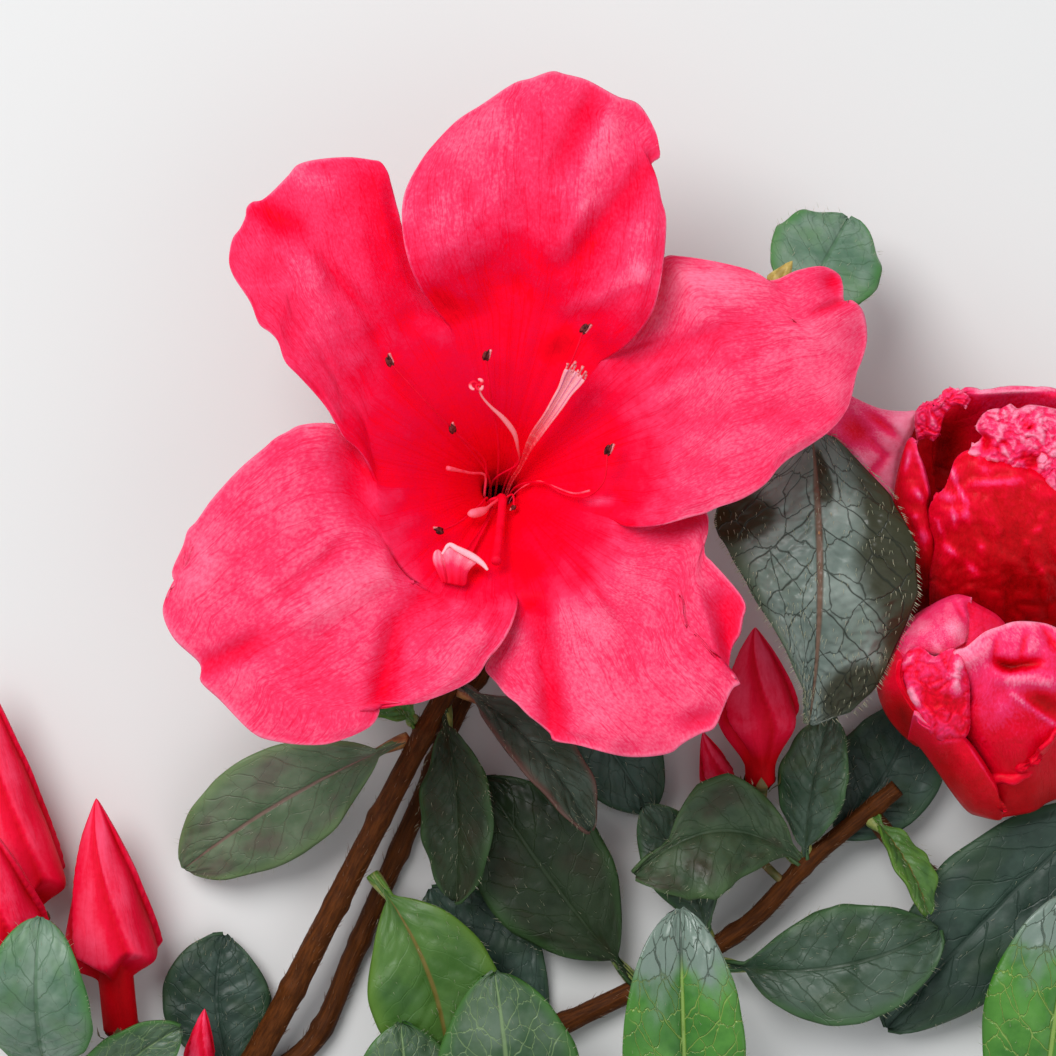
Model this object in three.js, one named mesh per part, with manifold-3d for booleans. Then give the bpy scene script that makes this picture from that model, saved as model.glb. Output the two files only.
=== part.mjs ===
// A cut flowering branch of a red evergreen azalea, lying on a level surface, its open bloom facing up.
// Millimetres, +Z up. The places of the pieces are read in the plane of the open bloom's face,
// from an eye EYE_ABOVE over that plane, and seen() carries each one down to its own height.
import * as THREE from "three";
import { mergeVertices } from "three/addons/utils/BufferGeometryUtils.js";
import Module from "manifold-3d";

const wasm = await Module();
wasm.setup();

// Driving dimensions
const FACE_PLANE = 30;
const EYE_ABOVE = 400;
const GAP = 0.3;
const LEAF_THICK = 0.6;
const PETAL_THICK = 0.8;
const LIMB_STEP = 4.5;
const SMALLEST_DETAIL = 0.05;
const UP = new THREE.Vector3(0, 0, 1);

// Where the middle of the outer box, at the level of the surface below, lies in the photographed frame
const BOX_MIDDLE = new THREE.Vector3(4.259, -25.296, 0.061);

// The open bloom
const THROAT = { x: -3, y: 4.4, z: 15.5 };
const TUBE_FOOT = { x: -4.2, y: -2.6, z: 5.8 };
const TUBE_RADIUS = 3.2;
const TUBE_FOOT_RADIUS = 2.4;
const TUBE_WALL = 0.8;
const TUBE_FLOOR = 2.2;
const BORE_RADII = [TUBE_FOOT_RADIUS - 0.4, TUBE_RADIUS + 0.2];
const FUNNEL_RISE = 17;
const FUNNEL_REACH = 9;
const FUNNEL_FROM = TUBE_RADIUS - 0.4;
const FUNNEL_EDGE = 10.5;
const FUNNEL_WALL = 1.4;
const FUNNEL_ROOT = 1.5;
const LOBES_FROM = 7.5;
const LOBE_TIP_CUT = 0.985;
const LAYERS_PART = [6.5, 13];
const RECURVE_FROM = 27;
const RECURVE = 0.012;
const FACE_TILT = 0.09;

// Each lobe's left and right edges run from the throat to the tip, seen from its base; layer is how far
// it lies over its neighbours, cup how far its edges rise, and a fold is [across, width, height, start].
const LOBES = [
  {
    left: [[-6, 6], [-8.6, 19.6], [-12.4, 27.6], [-13.5, 33], [-12.1, 39.6], [-6.6, 45], [2.1, 48.8]],
    right: [[0.2, 8], [6.4, 18], [12, 21.2], [14.8, 30.8], [13.6, 38.8], [12.6, 44], [2.1, 48.8]],
    layer: 3, cup: -1.2, folds: [[0.3, 0.2, 1.4, 0.3], [-0.05, 0.2, -1, 0.3]],
  },
  {
    left: [
      [-5.5, 3], [-14, 4.8], [-18.2, 8.1], [-24.6, 15.8], [-29.7, 23.9], [-31.8, 30], [-28.5, 35.1],
      [-20.1, 39.7],
    ],
    right: [[-3, 7.8], [-7.3, 16.9], [-11.2, 26.5], [-13.7, 34.6], [-15.4, 38.6], [-20.1, 39.7]],
    layer: 1.2, cup: 0.8, folds: [[0.1, 0.25, -1.6, 0.25]],
  },
  {
    left: [
      [-3.4, 1], [-1.4, -6], [-3, -13.1], [-10.5, -18.4], [-20.1, -22.9], [-28.5, -21.9], [-36, -15],
      [-39.1, -8.2],
    ],
    right: [[-5.5, 5], [-12, 8.4], [-20.7, 11.3], [-29.2, 7.8], [-35, 2], [-38.1, -4], [-39.1, -8.2]],
    layer: 0.4, cup: -0.6, folds: [[-0.35, 0.18, 1.2, 0.3], [0.1, 0.2, -0.8, 0.3]],
  },
  {
    left: [
      [-0.3, 5], [8, 2.4], [16.3, 3], [21.6, -3], [23.2, -8.2], [22.4, -16.6], [18.4, -22.1],
      [12, -24.4],
    ],
    right: [[-3.6, 2], [-1.9, -6.6], [-4.2, -14.4], [0, -20], [4.6, -23.6], [12, -24.4]],
    layer: -1.6, cup: -0.4, folds: [[0.62, 0.12, -1.3, 0.3], [0, 0.3, 0.9, 0.2]],
  },
  {
    left: [[-2, 8], [3.4, 13.7], [9.8, 20.1], [15.2, 28.4], [23.2, 27.6], [32.4, 27.6], [36.1, 21.7]],
    right: [
      [-0.5, 3.5], [5.6, 3.6], [12.1, 0.6], [18.4, 1.7], [24.8, 4.8], [33.2, 12.1], [36.1, 21.7],
    ],
    layer: 1, cup: -0.7, folds: [[-0.1, 0.14, -1.2, 0.2], [0.35, 0.2, 0.8, 0.3]],
  },
];

// Threads of the open bloom: where each tip is seen, its height over the face, its bow towards +X, and
// the turn of its foot round the tube in degrees. A petaloid is a thread that has widened.
const FILAMENTS = [
  { tip: [5.9, 21.4], over: 5.2, bow: 0.4, foot: 62 },
  { tip: [-4.5, 18.8], over: 5, bow: -0.4, foot: 98 },
  { tip: [-8.4, 10.6], over: 3, bow: -0.4, foot: 165 },
  { tip: [8.4, 8], over: 3.6, bow: 1, foot: 15 },
  { tip: [-9.4, -0.3], over: 3.2, bow: -0.4, foot: 216 },
  { tip: [-14.6, 17.8], over: 3.2, bow: -0.6, foot: 130 },
  { tip: [-1.4, -9.5], over: 3, bow: 0.2, foot: 275 },
];
const STRIPED_PETALOID = { tip: [6, 17.4], over: 5, bow: 0.3, foot: 40, wide: 2.6 };
const CURLED_PETALOID = { tip: [-7.6, -4], over: 5.4, bow: 0, foot: 240, wide: 4.2 };
const BLOOM_STALK = { foot: [-7.2, -14.6, 6.2], radii: [1.1, 1.5] };
const PISTIL = { tip: [-5.7, 16], over: 6, bow: -0.5, foot: 130, wide: 1.1 };

// Woody limbs: a route of seen places with heights, and the radius at each end
const LIMBS = {
  main_stem: {
    route: [
      [-37, -71.4, 1.8], [-33.6, -64.6, 2], [-30, -58.2, 2.9], [-26, -50.9, 4.4],
      [-20.6, -40.3, 5.8], [-13.2, -25.9, 6.8], [-7.6, -15.4, 6.2],
    ],
    radii: [1.7, 1.25],
  },
  rear_stem: {
    route: [
      [-31.4, -60.6, 2], [-26.6, -58, 1.5], [-22.6, -54.4, 1.3], [-18.6, -45.5, 1.3],
      [-12, -30.4, 1.5], [-5.5, -16, 1.8], [6, -4, 3.2], [16.5, 3.2, 7.6], [25, 8, 13],
      [28.4, 14.6, 17], [26.8, 24, 21],
    ],
    radii: [1.3, 0.9],
  },
  right_stem: {
    route: [
      [-33.4, -64.4, 1.9], [-24, -63, 1.6], [-8, -58, 1.4], [6, -52, 1.6], [22.7, -43, 3.2],
      [30.5, -35.2, 4.6], [39.5, -27.8, 6.4],
    ],
    radii: [1.4, 1.05],
  },
  front_shoot: {
    route: [
      [-35, -67.4, 1.8], [-25, -70, 1.6], [-11, -72.6, 2], [3, -72, 2.6], [18, -70.6, 2.6],
      [37, -73.6, 2], [55.5, -69.6, 3.6],
    ],
    radii: [1.3, 0.9],
  },
  left_shoot: {
    route: [[-34.4, -66, 1.9], [-40, -66, 1.5], [-46, -64, 1.4], [-52, -58.6, 2], [-54.6, -52.6, 3.4]],
    radii: [1.25, 0.8],
  },
  right_shoot: {
    route: [
      [36.6, -30.6, 5.4], [41.5, -36, 3.2], [48, -39, 1.8], [57, -36.4, 1.8], [65.6, -28, 3],
      [69, -18, 5], [69, -9.4, 7],
    ],
    radii: [1.1, 0.9],
  },
};
const LIMB_ORDER = Object.keys(LIMBS);

// Leaves: base and tip as seen, with heights; width; arch up; bow to the left of the way to the tip;
// roll about the midrib in degrees; fold up of the halves.
const LEAVES = {
  leaf_left: {
    base: [-12.6, -22.6, 6.8], tip: [-36.9, -36.6, 3.2], width: 13,
    arch: 3, bow: -1.2, roll: 8, fold: 0.05,
  },
  leaf_lower: {
    base: [-16.8, -37, 6.6], tip: [-8.4, -60, 5], width: 15,
    arch: 2.6, bow: 2.4, roll: 0, fold: 0.1,
  },
  leaf_node: {
    base: [-12, -21, 7], tip: [-17.4, -15.2, 10], width: 5.5,
    arch: 0.5, bow: 0, roll: 0, fold: 0.1,
  },
  leaf_front_left: {
    base: [-11.5, -72.4, 3], tip: [-13.6, -53, 9.6], width: 13.4,
    arch: 2.2, bow: 0, roll: -6, fold: -0.1,
  },
  leaf_front_middle: {
    base: [-1.6, -71.8, 3.4], tip: [-3.6, -47.5, 15.5], width: 16.4,
    arch: 4, bow: -0.6, roll: 4, fold: -0.1,
  },
  leaf_front_right: {
    base: [17.3, -70.6, 3.4], tip: [16.3, -40.7, 15], width: 13.7,
    arch: 5, bow: 0.3, roll: 0, fold: 0.3,
  },
  leaf_corner: {
    base: [54.8, -69.8, 4.4], tip: [59.2, -38.7, 12], width: 16,
    arch: 4, bow: 1.5, roll: 8, fold: 0.12,
  },
  leaf_right_low: {
    base: [20.4, -46.6, 3.4], tip: [44, -42.9, 7.6], width: 13.4,
    arch: 3.4, bow: -2, roll: 6, fold: 0.06,
  },
  leaf_middle: {
    base: [29.4, -36.4, 5], tip: [11.7, -38.6, 9], width: 15,
    arch: 3, bow: -2.2, roll: -20, fold: 0.45,
  },
  leaf_middle_small: {
    base: [19.4, -44.4, 3.6], tip: [12.4, -29.8, 5.2], width: 8.4,
    arch: 0.6, bow: -1, roll: 0, fold: 0.05,
  },
  leaf_centre: {
    base: [11.4, -48.6, 2.6], tip: [-4.8, -26.8, 5.2], width: 15,
    arch: 2, bow: 0.6, roll: 0, fold: 0.06,
  },
  leaf_centre_low: {
    base: [4.2, -53.8, 1.8], tip: [-10.4, -38.6, 1.4], width: 13,
    arch: 0.4, bow: 1, roll: 0, fold: 0.05,
  },
  leaf_under_right: {
    base: [-7.8, -16.6, 6.4], tip: [6.8, -32.4, 9.6], width: 9,
    arch: 3, bow: 2, roll: 34, fold: 0.2,
  },
  leaf_under_left: {
    base: [-9.4, -18.6, 6.6], tip: [-8, -40, 8.4], width: 9.4,
    arch: 2.6, bow: 1, roll: -26, fold: 0.1,
  },
  leaf_under_deep: {
    base: [-2.4, -12.6, 2.4], tip: [13, -30.6, 2.2], width: 12,
    arch: 1.4, bow: 1.6, roll: 0, fold: 0.05,
  },
  leaf_hidden_left: {
    base: [-8.4, -16.8, 6.4], tip: [-28, -4, 0.35], width: 11,
    arch: 4, bow: 1, roll: 0, fold: 0.05,
  },
  leaf_hidden_top: {
    base: [22, 6.4, 11], tip: [8.5, 25.5, 0.35], width: 11,
    arch: 3, bow: 1, roll: 0, fold: 0.05,
  },
  leaf_up_narrow: {
    base: [29.6, -36, 4.8], tip: [32.4, -20, 7], width: 8.6,
    arch: 2, bow: 1, roll: 28, fold: 0.05,
  },
  leaf_up_broad: {
    base: [31.2, -34.8, 4], tip: [41.6, -18.6, 1.6], width: 12.4,
    arch: 1, bow: -1.4, roll: 0, fold: 0.05,
  },
  leaf_small: {
    base: [36.8, -30.6, 6], tip: [43, -41.4, 10], width: 5,
    arch: 2.4, bow: 0.8, roll: 40, fold: 0.3,
  },
  leaf_right_hanging: {
    base: [66.6, -26, 4.6], tip: [38.4, -53.6, 3.4], width: 15.5,
    arch: 3, bow: -1.5, roll: 0, fold: 0.05,
  },
  leaf_veined: {
    base: [30.2, 11.4, 17.6], tip: [30, -21.1, 17], width: 21.5,
    arch: 7, bow: 0.6, roll: -4, fold: -0.16, belly: 0.8,
  },
  leaf_top_right: {
    base: [27.1, 20.4, 20.4], tip: [34.4, 33.4, 10], width: 13,
    arch: 2.6, bow: 0, roll: 0, fold: 0.05,
  },
  leaf_corner_left: {
    base: [-51.4, -59.2, 3], tip: [-52.2, -41.5, 19], width: 12.6,
    arch: 7, bow: 0, roll: 0, fold: 0.12,
  },
  leaf_left_low: {
    base: [-47.4, -63, 2.4], tip: [-37.2, -53.6, 12], width: 9,
    arch: 3, bow: 1.2, roll: -20, fold: 0.2,
  },
  leaf_stem_left: {
    base: [-31.2, -59.6, 2.2], tip: [-32.5, -43.6, 2.4], width: 12.4,
    arch: 0.4, bow: 1.5, roll: 0, fold: 0.05,
  },
  leaf_shoot_left: {
    base: [-40.6, -65.6, 1.6], tip: [-39, -87, 3], width: 10.5,
    arch: 3, bow: 0, roll: 0, fold: 0.08,
  },
  leaf_shoot_middle: {
    base: [6, -71.6, 2.8], tip: [13, -91, 4], width: 11,
    arch: 4, bow: 1, roll: 0, fold: 0.08,
  },
  leaf_shoot_right: {
    base: [38, -73.4, 2.2], tip: [34, -93, 3], width: 11,
    arch: 4, bow: -1, roll: 0, fold: 0.08,
  },
};

// Buds: foot of the stalk on its limb, base and tip of the closed corolla, its width, how far up it widens
const BUDS = {
  bud_middle: {
    foot: [29.2, -36.2, 4.6], base: [24.9, -28, 5.4], tip: [24.3, -10.6, 8.6],
    width: 9.6, tube: 0.06,
  },
  bud_small: {
    foot: [27.2, -37.8, 4.2], base: [21, -29, 3.4], tip: [18.7, -21.8, 4.8],
    width: 4, tube: 0.04,
  },
  bud_left: {
    foot: [-46.6, -63.4, 1.8], base: [-43.4, -54.8, 5.2], tip: [-46.2, -28.9, 6.8],
    width: 11, tube: 0.22,
  },
  bud_edge_tall: {
    foot: [-50.4, -60.2, 1.8], base: [-53.4, -43, 4.8], tip: [-59, -14.6, 7.4],
    width: 10.6, tube: 0.18,
  },
  bud_edge_low: {
    foot: [-54.6, -53, 3.4], base: [-56.6, -48, 12.4], tip: [-58, -31.6, 17],
    width: 12.6, tube: 0.06,
  },
  bud_tip: {
    foot: [-34, -63, 2.2], base: [-35.4, -58.4, 5.2], tip: [-34.6, -51.4, 6.8],
    width: 3.4, tube: 0.04,
  },
  bud_rear: {
    foot: [26.9, 23.4, 21], base: [26, 25.4, 21.4], tip: [28.3, 28.6, 22.4],
    width: 2.4, tube: 0.04,
  },
};
const BUD_TUBE = 0.42;
const BUD_FOOT = 0.05;
const BUD_SHOULDER = 0.18;
const BUD_TAPER = 1.5;
const BUD_FLUTES = 5;
const BUD_FLUTE_DEPTH = 0.09;
const BUD_TWIST = 1.6;
const BUD_STALK_RADII = [0.7, 0.8];
const BUD_STALK_DEEP = 1.4;

// The double blooms at the right: an inner mass of crinkled petaloids in a bowl of cupped petals, each
// [azimuth, half width, start, end] in degrees round and up from the base. Each petal's second edge lies
// a spiral step further out than its first.
const DOUBLES = {
  double_upper: {
    foot: [68.6, -10.4, 6.8], middle: [51.4, 2.8, 13], facing: [-0.42, 0.2, 0.88],
    radius: 10.4, core: 8.9, crinkle: 0.6, spiral: 2,
    petals: [[185, 52, 20, 124], [105, 50, 20, 128], [20, 52, 20, 112], [280, 52, 20, 116]],
  },
  double_lower: {
    foot: [69, -15.4, 5.4], middle: [49.2, -19, 19], facing: [-0.72, 0.24, 0.65],
    radius: 9.8, core: 8.7, crinkle: 0.35, spiral: 2,
    petals: [[255, 58, 16, 140], [165, 58, 16, 146], [75, 56, 16, 150], [345, 60, 16, 136]],
  },
};
const DOUBLES_APART = 0.9;
const DOUBLE_PETAL_THICK = 1;
const DOUBLE_STALK_DEEP = 0.5;
const RECEPTACLE = { radii: [2.4, 5], below: 0.8, sides: 12 };
const OUTER_LOBE = { from: [46, 4, 7.5], to: [30.6, 10.4, 16.5], width: 12.5, arch: 1.6 };

// How finely the pieces are divided; a sheet's are its rows across and along
const TUBE_MESH = { sides: 16, step: 5 };
const STALK_MESH = { sides: 8, step: 2.5 };
const FILAMENT_MESH = { sides: 4, step: 3.4 };
const BUD_STALK_SIDES = 6;
const DISC_SIDES = 12;
const FUNNEL_ROWS = 5;
const FUNNEL_SIDES = 30;
const LOBE_ROWS = [7, 10];
const PETALOID_ROWS = [2, 9];
const DOUBLE_ROWS = [5, 7];
const OUTER_LOBE_ROWS = [4, 6];
const CLEAR_ROWS = [24, 16];
const LOBE_CUT = { height: 80, sides: 24 };

function smooth(low, high, x) {
  const t = THREE.MathUtils.clamp((x - low) / (high - low), 0, 1);
  return t * t * (3 - 2 * t);
}

// The true place at height z of what is seen at x, y in the plane of the bloom's face
function seen([x, y, z]) {
  const spread = 1 + (FACE_PLANE - z) / EYE_ABOVE;
  return new THREE.Vector3(x * spread, y * spread, z);
}

function mapVertices(geometry, place) {
  const position = geometry.getAttribute("position");
  for (let i = 0; i < position.count; i++) {
    const moved = place(position.getX(i), position.getY(i), position.getZ(i));
    position.setXYZ(i, moved.x, moved.y, moved.z);
  }
  return geometry;
}

function toSolid(geometry) {
  geometry.deleteAttribute("normal");
  geometry.deleteAttribute("uv");
  const merged = mergeVertices(geometry, 1e-4);
  const faces = [];
  for (let i = 0; i < merged.index.count; i += 3) {
    const [a, b, c] = merged.index.array.slice(i, i + 3);
    if (a !== b && b !== c && c !== a) faces.push(a, b, c);
  }
  return new wasm.Manifold(
    new wasm.Mesh({
      numProp: 3,
      vertProperties: new Float32Array(merged.getAttribute("position").array),
      triVerts: new Uint32Array(faces),
    }),
  );
}

function toGeometry(solid) {
  const made = solid.getMesh();
  const places = new Float32Array(made.numVert * 3);
  for (let i = 0; i < made.numVert; i++)
    places.set(made.vertProperties.subarray(i * made.numProp, i * made.numProp + 3), i * 3);
  return new THREE.BufferGeometry()
    .setAttribute("position", new THREE.BufferAttribute(places, 3))
    .setIndex(new THREE.BufferAttribute(new Uint32Array(made.triVerts), 1));
}

// The largest of the bodies that a cut leaves
function mainBody(solid) {
  return solid.decompose().sort((a, b) => b.volume() - a.volume())[0];
}

function union(solids) {
  return solids.reduce((all, one) => all.add(one));
}

// One tapering limb with flat ends along a curve, from radius radii[0] to radii[1]
function limb(curve, radii, { sides = 7, step = LIMB_STEP, grow = 0 } = {}) {
  const steps = Math.max(3, Math.round(curve.getLength() / step));
  const frames = curve.computeFrenetFrames(steps);
  return toSolid(
    mapVertices(new THREE.CylinderGeometry(1, 1, 1, sides, steps), (x, y, z) => {
      const i = Math.round((y + 0.5) * steps);
      const radius = THREE.MathUtils.lerp(radii[0], radii[1], i / steps) + grow;
      return curve
        .getPointAt(i / steps)
        .addScaledVector(frames.normals[i], x * radius)
        .addScaledVector(frames.binormals[i], -z * radius);
    }),
  );
}

function limbCurve(route) {
  return new THREE.CatmullRomCurve3(route.map(seen), false, "centripetal");
}

// A bowed line from base to tip, with its arch up and its bow sideways
function bowedLine(base, tip, arch, bow) {
  const along = tip.clone().sub(base).normalize();
  const left = new THREE.Vector3().crossVectors(UP, along).normalize();
  const middle = base
    .clone()
    .lerp(tip, 0.5)
    .addScaledVector(UP, 2 * arch)
    .addScaledVector(left, 2 * bow);
  return new THREE.QuadraticBezierCurve3(base, middle, tip);
}

const LEAF_STEPS = 8;
const STALK_HALF_WIDTH = 0.55;
const STALK_SHARE = 0.12;
const TIP_HALF_WIDTH = 0.25;

// Half the width of a leaf at v, from the foot of its stalk at 0 to its tip at 1
function leafHalfWidth(width, v, belly) {
  const s = THREE.MathUtils.clamp((v - STALK_SHARE) / (1 - STALK_SHARE), 0, 1);
  const blade = Math.sin(Math.PI * s ** belly) ** 0.62 * (width / 2);
  return Math.max(v < 0.5 ? STALK_HALF_WIDTH : TIP_HALF_WIDTH, blade || 0);
}

function leaf({ base, tip, width, arch, bow, roll, fold, belly = 1.05 }) {
  const line = bowedLine(seen(base), seen(tip), arch, bow);
  return toSolid(
    mapVertices(new THREE.BoxGeometry(2, 2, 1, 4, 1, LEAF_STEPS), (u, side, z) => {
      const t = z + 0.5;
      const v = THREE.MathUtils.lerp(t, 0.5 - 0.5 * Math.cos(Math.PI * t), 0.7);
      const ahead = line.getTangentAt(v);
      const face = UP.clone().addScaledVector(ahead, -UP.dot(ahead)).normalize();
      face.applyAxisAngle(ahead, THREE.MathUtils.degToRad(roll));
      const sideways = new THREE.Vector3().crossVectors(face, ahead);
      const half = leafHalfWidth(width, v, belly);
      const thick = LEAF_THICK * (1.25 - 0.45 * Math.abs(u));
      return line
        .getPointAt(v)
        .addScaledVector(sideways, u * half)
        .addScaledVector(face, fold * Math.abs(u) * half + (side * thick) / 2);
    }),
  );
}

// A closed bud on its stalk: a fluted spindle that is twisted as its furled petals are
function bud({ foot, base, tip, width, tube }) {
  const low = seen(base);
  const high = seen(tip);
  const axis = high.clone().sub(low).normalize();
  const first = new THREE.Vector3().crossVectors(UP, axis).normalize();
  const second = new THREE.Vector3().crossVectors(axis, first);
  const spindle = mapVertices(new THREE.SphereGeometry(1, 15, 9), (x, y, z) => {
    const s = 1 - Math.acos(THREE.MathUtils.clamp(y, -1, 1)) / Math.PI;
    const angle = Math.atan2(z, x);
    const widest = tube + BUD_SHOULDER;
    const rounding = Math.sqrt(Math.min(s / BUD_FOOT, 1));
    const neck = THREE.MathUtils.lerp(BUD_TUBE, 1, smooth(tube * 0.7, widest, s));
    const taper = 1 - Math.max((s - widest) / (1 - widest), 0) ** BUD_TAPER;
    const flute = 1 + BUD_FLUTE_DEPTH * Math.cos(BUD_FLUTES * (angle + BUD_TWIST * s));
    const radius = (width / 2) * rounding * neck * taper * flute;
    return low
      .clone()
      .lerp(high, s)
      .addScaledVector(first, Math.cos(angle) * radius)
      .addScaledVector(second, -Math.sin(angle) * radius);
  });
  const stalk = stalkCurve(seen(foot), low.clone().addScaledVector(axis, BUD_STALK_DEEP), axis);
  return toSolid(spindle).add(limb(stalk, BUD_STALK_RADII, { sides: BUD_STALK_SIDES }));
}

// A flower stalk that leaves its limb and turns into the direction of the flower
function stalkCurve(foot, end, axis) {
  const reach = foot.distanceTo(end);
  const bend = end.clone().addScaledVector(axis, -reach * 0.5);
  return new THREE.QuadraticBezierCurve3(foot, bend, end);
}

// A bent sheet of even thickness from a function of u from -1 to 1 and v from 0 to 1
function sheet(surface, [across, along], thick) {
  const nudge = 1e-3;
  return toSolid(
    mapVertices(new THREE.BoxGeometry(2, 2, 1, across, 1, along), (u, side, z) => {
      const v = z + 0.5;
      const u0 = Math.max(u - nudge, -1);
      const v0 = Math.max(v - nudge, 0);
      const du = surface(Math.min(u + nudge, 1), v).sub(surface(u0, v));
      const dv = surface(u, Math.min(v + nudge, 1)).sub(surface(u, v0));
      const normal = dv.cross(du).normalize();
      return surface(u, v).addScaledVector(normal, (side * thick) / 2);
    }),
  );
}

// Height of the bloom's face over the surface at a seen place
function faceHeight(x, y) {
  const r = Math.hypot(x - THROAT.x, y - THROAT.y);
  const rise = FUNNEL_RISE * (1 - Math.exp(-Math.max(r - TUBE_RADIUS, 0) / FUNNEL_REACH));
  const fall = RECURVE * Math.max(r - RECURVE_FROM, 0) ** 2;
  return THROAT.z + rise - fall - FACE_TILT * (y - THROAT.y);
}

function lobe({ left, right, layer, cup, folds }) {
  const flat = (points) =>
    new THREE.CatmullRomCurve3(points.map(([x, y]) => new THREE.Vector3(x, y, 0)));
  const edges = [flat(left), flat(right)];
  return sheet(
    (u, v) => {
      const [from, to] = edges.map((edge) => edge.getPoint(v * LOBE_TIP_CUT));
      const place = from.lerp(to, (u + 1) / 2);
      const r = Math.hypot(place.x - THROAT.x, place.y - THROAT.y);
      let height = faceHeight(place.x, place.y) + layer * smooth(...LAYERS_PART, r);
      const fade = 1 - smooth(0.72, 0.98, v);
      height += cup * u * u * smooth(0.2, 0.7, v) * fade;
      for (const [at, wide, high, start] of folds)
        height += high * Math.exp(-(((u - at) / wide) ** 2)) * smooth(start, 0.7, v) * fade;
      return seen([place.x, place.y, height]);
    },
    LOBE_ROWS,
    PETAL_THICK,
  );
}

function corolla() {
  const foot = seen([TUBE_FOOT.x, TUBE_FOOT.y, TUBE_FOOT.z]);
  const throat = seen([THROAT.x, THROAT.y, THROAT.z + 1]);
  const line = new THREE.LineCurve3(foot, throat);
  const wall = [TUBE_FOOT_RADIUS, TUBE_RADIUS + TUBE_WALL];
  const tube = limb(line, wall, TUBE_MESH);
  const floor = line.getPointAt(TUBE_FLOOR / line.getLength());
  const inside = new THREE.LineCurve3(floor, line.getPoint(1.2));
  const bore = limb(inside, BORE_RADII, TUBE_MESH);
  const ring = (i) => THREE.MathUtils.lerp(FUNNEL_FROM, FUNNEL_EDGE, i / FUNNEL_ROWS);
  const profile = [];
  for (let i = 0; i <= FUNNEL_ROWS; i++) {
    const root = FUNNEL_ROOT * (1 - smooth(TUBE_RADIUS, 2 * TUBE_RADIUS, ring(i)));
    profile.push(new THREE.Vector2(ring(i), -FUNNEL_WALL / 2 - root));
  }
  for (let i = FUNNEL_ROWS; i >= 0; i--) profile.push(new THREE.Vector2(ring(i), FUNNEL_WALL / 2));
  profile.push(profile[0]);
  const funnel = toSolid(
    mapVertices(new THREE.LatheGeometry(profile, FUNNEL_SIDES), (x, h, y) => {
      const at = [THROAT.x + x, THROAT.y - y];
      return seen([...at, faceHeight(...at) + h]);
    }),
  );
  const core = new THREE.CylinderGeometry(LOBES_FROM, LOBES_FROM, LOBE_CUT.height, LOBE_CUT.sides);
  const inner = toSolid(core.rotateX(Math.PI / 2).translate(throat.x, throat.y, 0));
  const shell = union([funnel, ...LOBES.map((shape) => lobe(shape).subtract(inner))]);
  return mainBody(shell.add(tube).subtract(bore));
}

// The direction from the foot of the tube to the throat
function tubeAxis() {
  const foot = seen([TUBE_FOOT.x, TUBE_FOOT.y, TUBE_FOOT.z]);
  const throat = seen([THROAT.x, THROAT.y, THROAT.z + 1]);
  return { foot, throat, axis: throat.clone().sub(foot).normalize() };
}

// A place in the tube: so far up from its floor, and out from its axis at a turn round it in degrees
function inTube(up, out, turn) {
  const { foot, axis } = tubeAxis();
  const first = new THREE.Vector3(1, 0, 0).addScaledVector(axis, -axis.x).normalize();
  return foot
    .clone()
    .addScaledVector(axis, TUBE_FLOOR + GAP + up)
    .addScaledVector(first.applyAxisAngle(axis, THREE.MathUtils.degToRad(turn)), out);
}

// A thread from its foot in the tube, out of the throat and over the face to its tip
function threadCurve({ tip, over, bow, foot }, { low, high, lift }) {
  const start = inTube(low.up, low.out, foot);
  const waist = inTube(high.up, high.out, foot);
  const from = [waist.x, waist.y];
  const above = [0.35, 0.7, 1].map((share) => {
    const x = THREE.MathUtils.lerp(from[0], tip[0], share) + bow * Math.sin(Math.PI * share);
    const y = THREE.MathUtils.lerp(from[1], tip[1], share);
    return seen([x, y, faceHeight(x, y) + THREE.MathUtils.lerp(lift, over, share)]);
  });
  return new THREE.CatmullRomCurve3([start, waist, ...above], false, "centripetal");
}

const DISC = { radius: 1.6, height: 1 };
const FILAMENT_RADII = [0.32, 0.256];
const FILAMENT_WAY = { low: { up: 0.2, out: 1.25 }, high: { up: 11, out: 1.8 }, lift: 2 };
const PETALOID_WAY = {
  low: { up: DISC.height + GAP, out: 0.5 },
  high: { up: 13, out: 1.1 },
  lift: 3.8,
};
const PETALOID_FOOT = 0.5;
const ANTHER = [0.65, 0.65, 1.1];

function stamens() {
  const { axis } = tubeAxis();
  const seat = inTube(0, 0, 0);
  const top = seat.clone().addScaledVector(axis, DISC.height);
  const disc = limb(new THREE.LineCurve3(seat, top), [DISC.radius, DISC.radius], { sides: DISC_SIDES });
  const filaments = FILAMENTS.map((filament) => {
    const curve = threadCurve(filament, FILAMENT_WAY);
    const end = curve.getPoint(1);
    const anther = new THREE.SphereGeometry(1, 6, 4).scale(...ANTHER);
    const thread = limb(curve, FILAMENT_RADII, FILAMENT_MESH);
    return thread.add(toSolid(anther.translate(end.x, end.y, end.z)));
  });
  return union([disc, ...filaments]);
}

// A flattened filament, as a stamen that has turned half into a petal
function petaloid(shape) {
  const curve = threadCurve(shape, PETALOID_WAY);
  const across = new THREE.Vector3().crossVectors(UP, curve.getTangentAt(1)).normalize();
  return sheet(
    (u, v) => {
      const width = THREE.MathUtils.lerp(PETALOID_FOOT, shape.wide, smooth(0.45, 1, v));
      return curve.getPointAt(v).addScaledVector(across, (u * width) / 2);
    },
    PETALOID_ROWS,
    PETALOID_FOOT,
  );
}

function bloomStalk() {
  const { foot, axis } = tubeAxis();
  const end = foot.clone().addScaledVector(axis, -GAP);
  return limb(stalkCurve(seen(BLOOM_STALK.foot), end, axis), BLOOM_STALK.radii, STALK_MESH);
}

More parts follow.
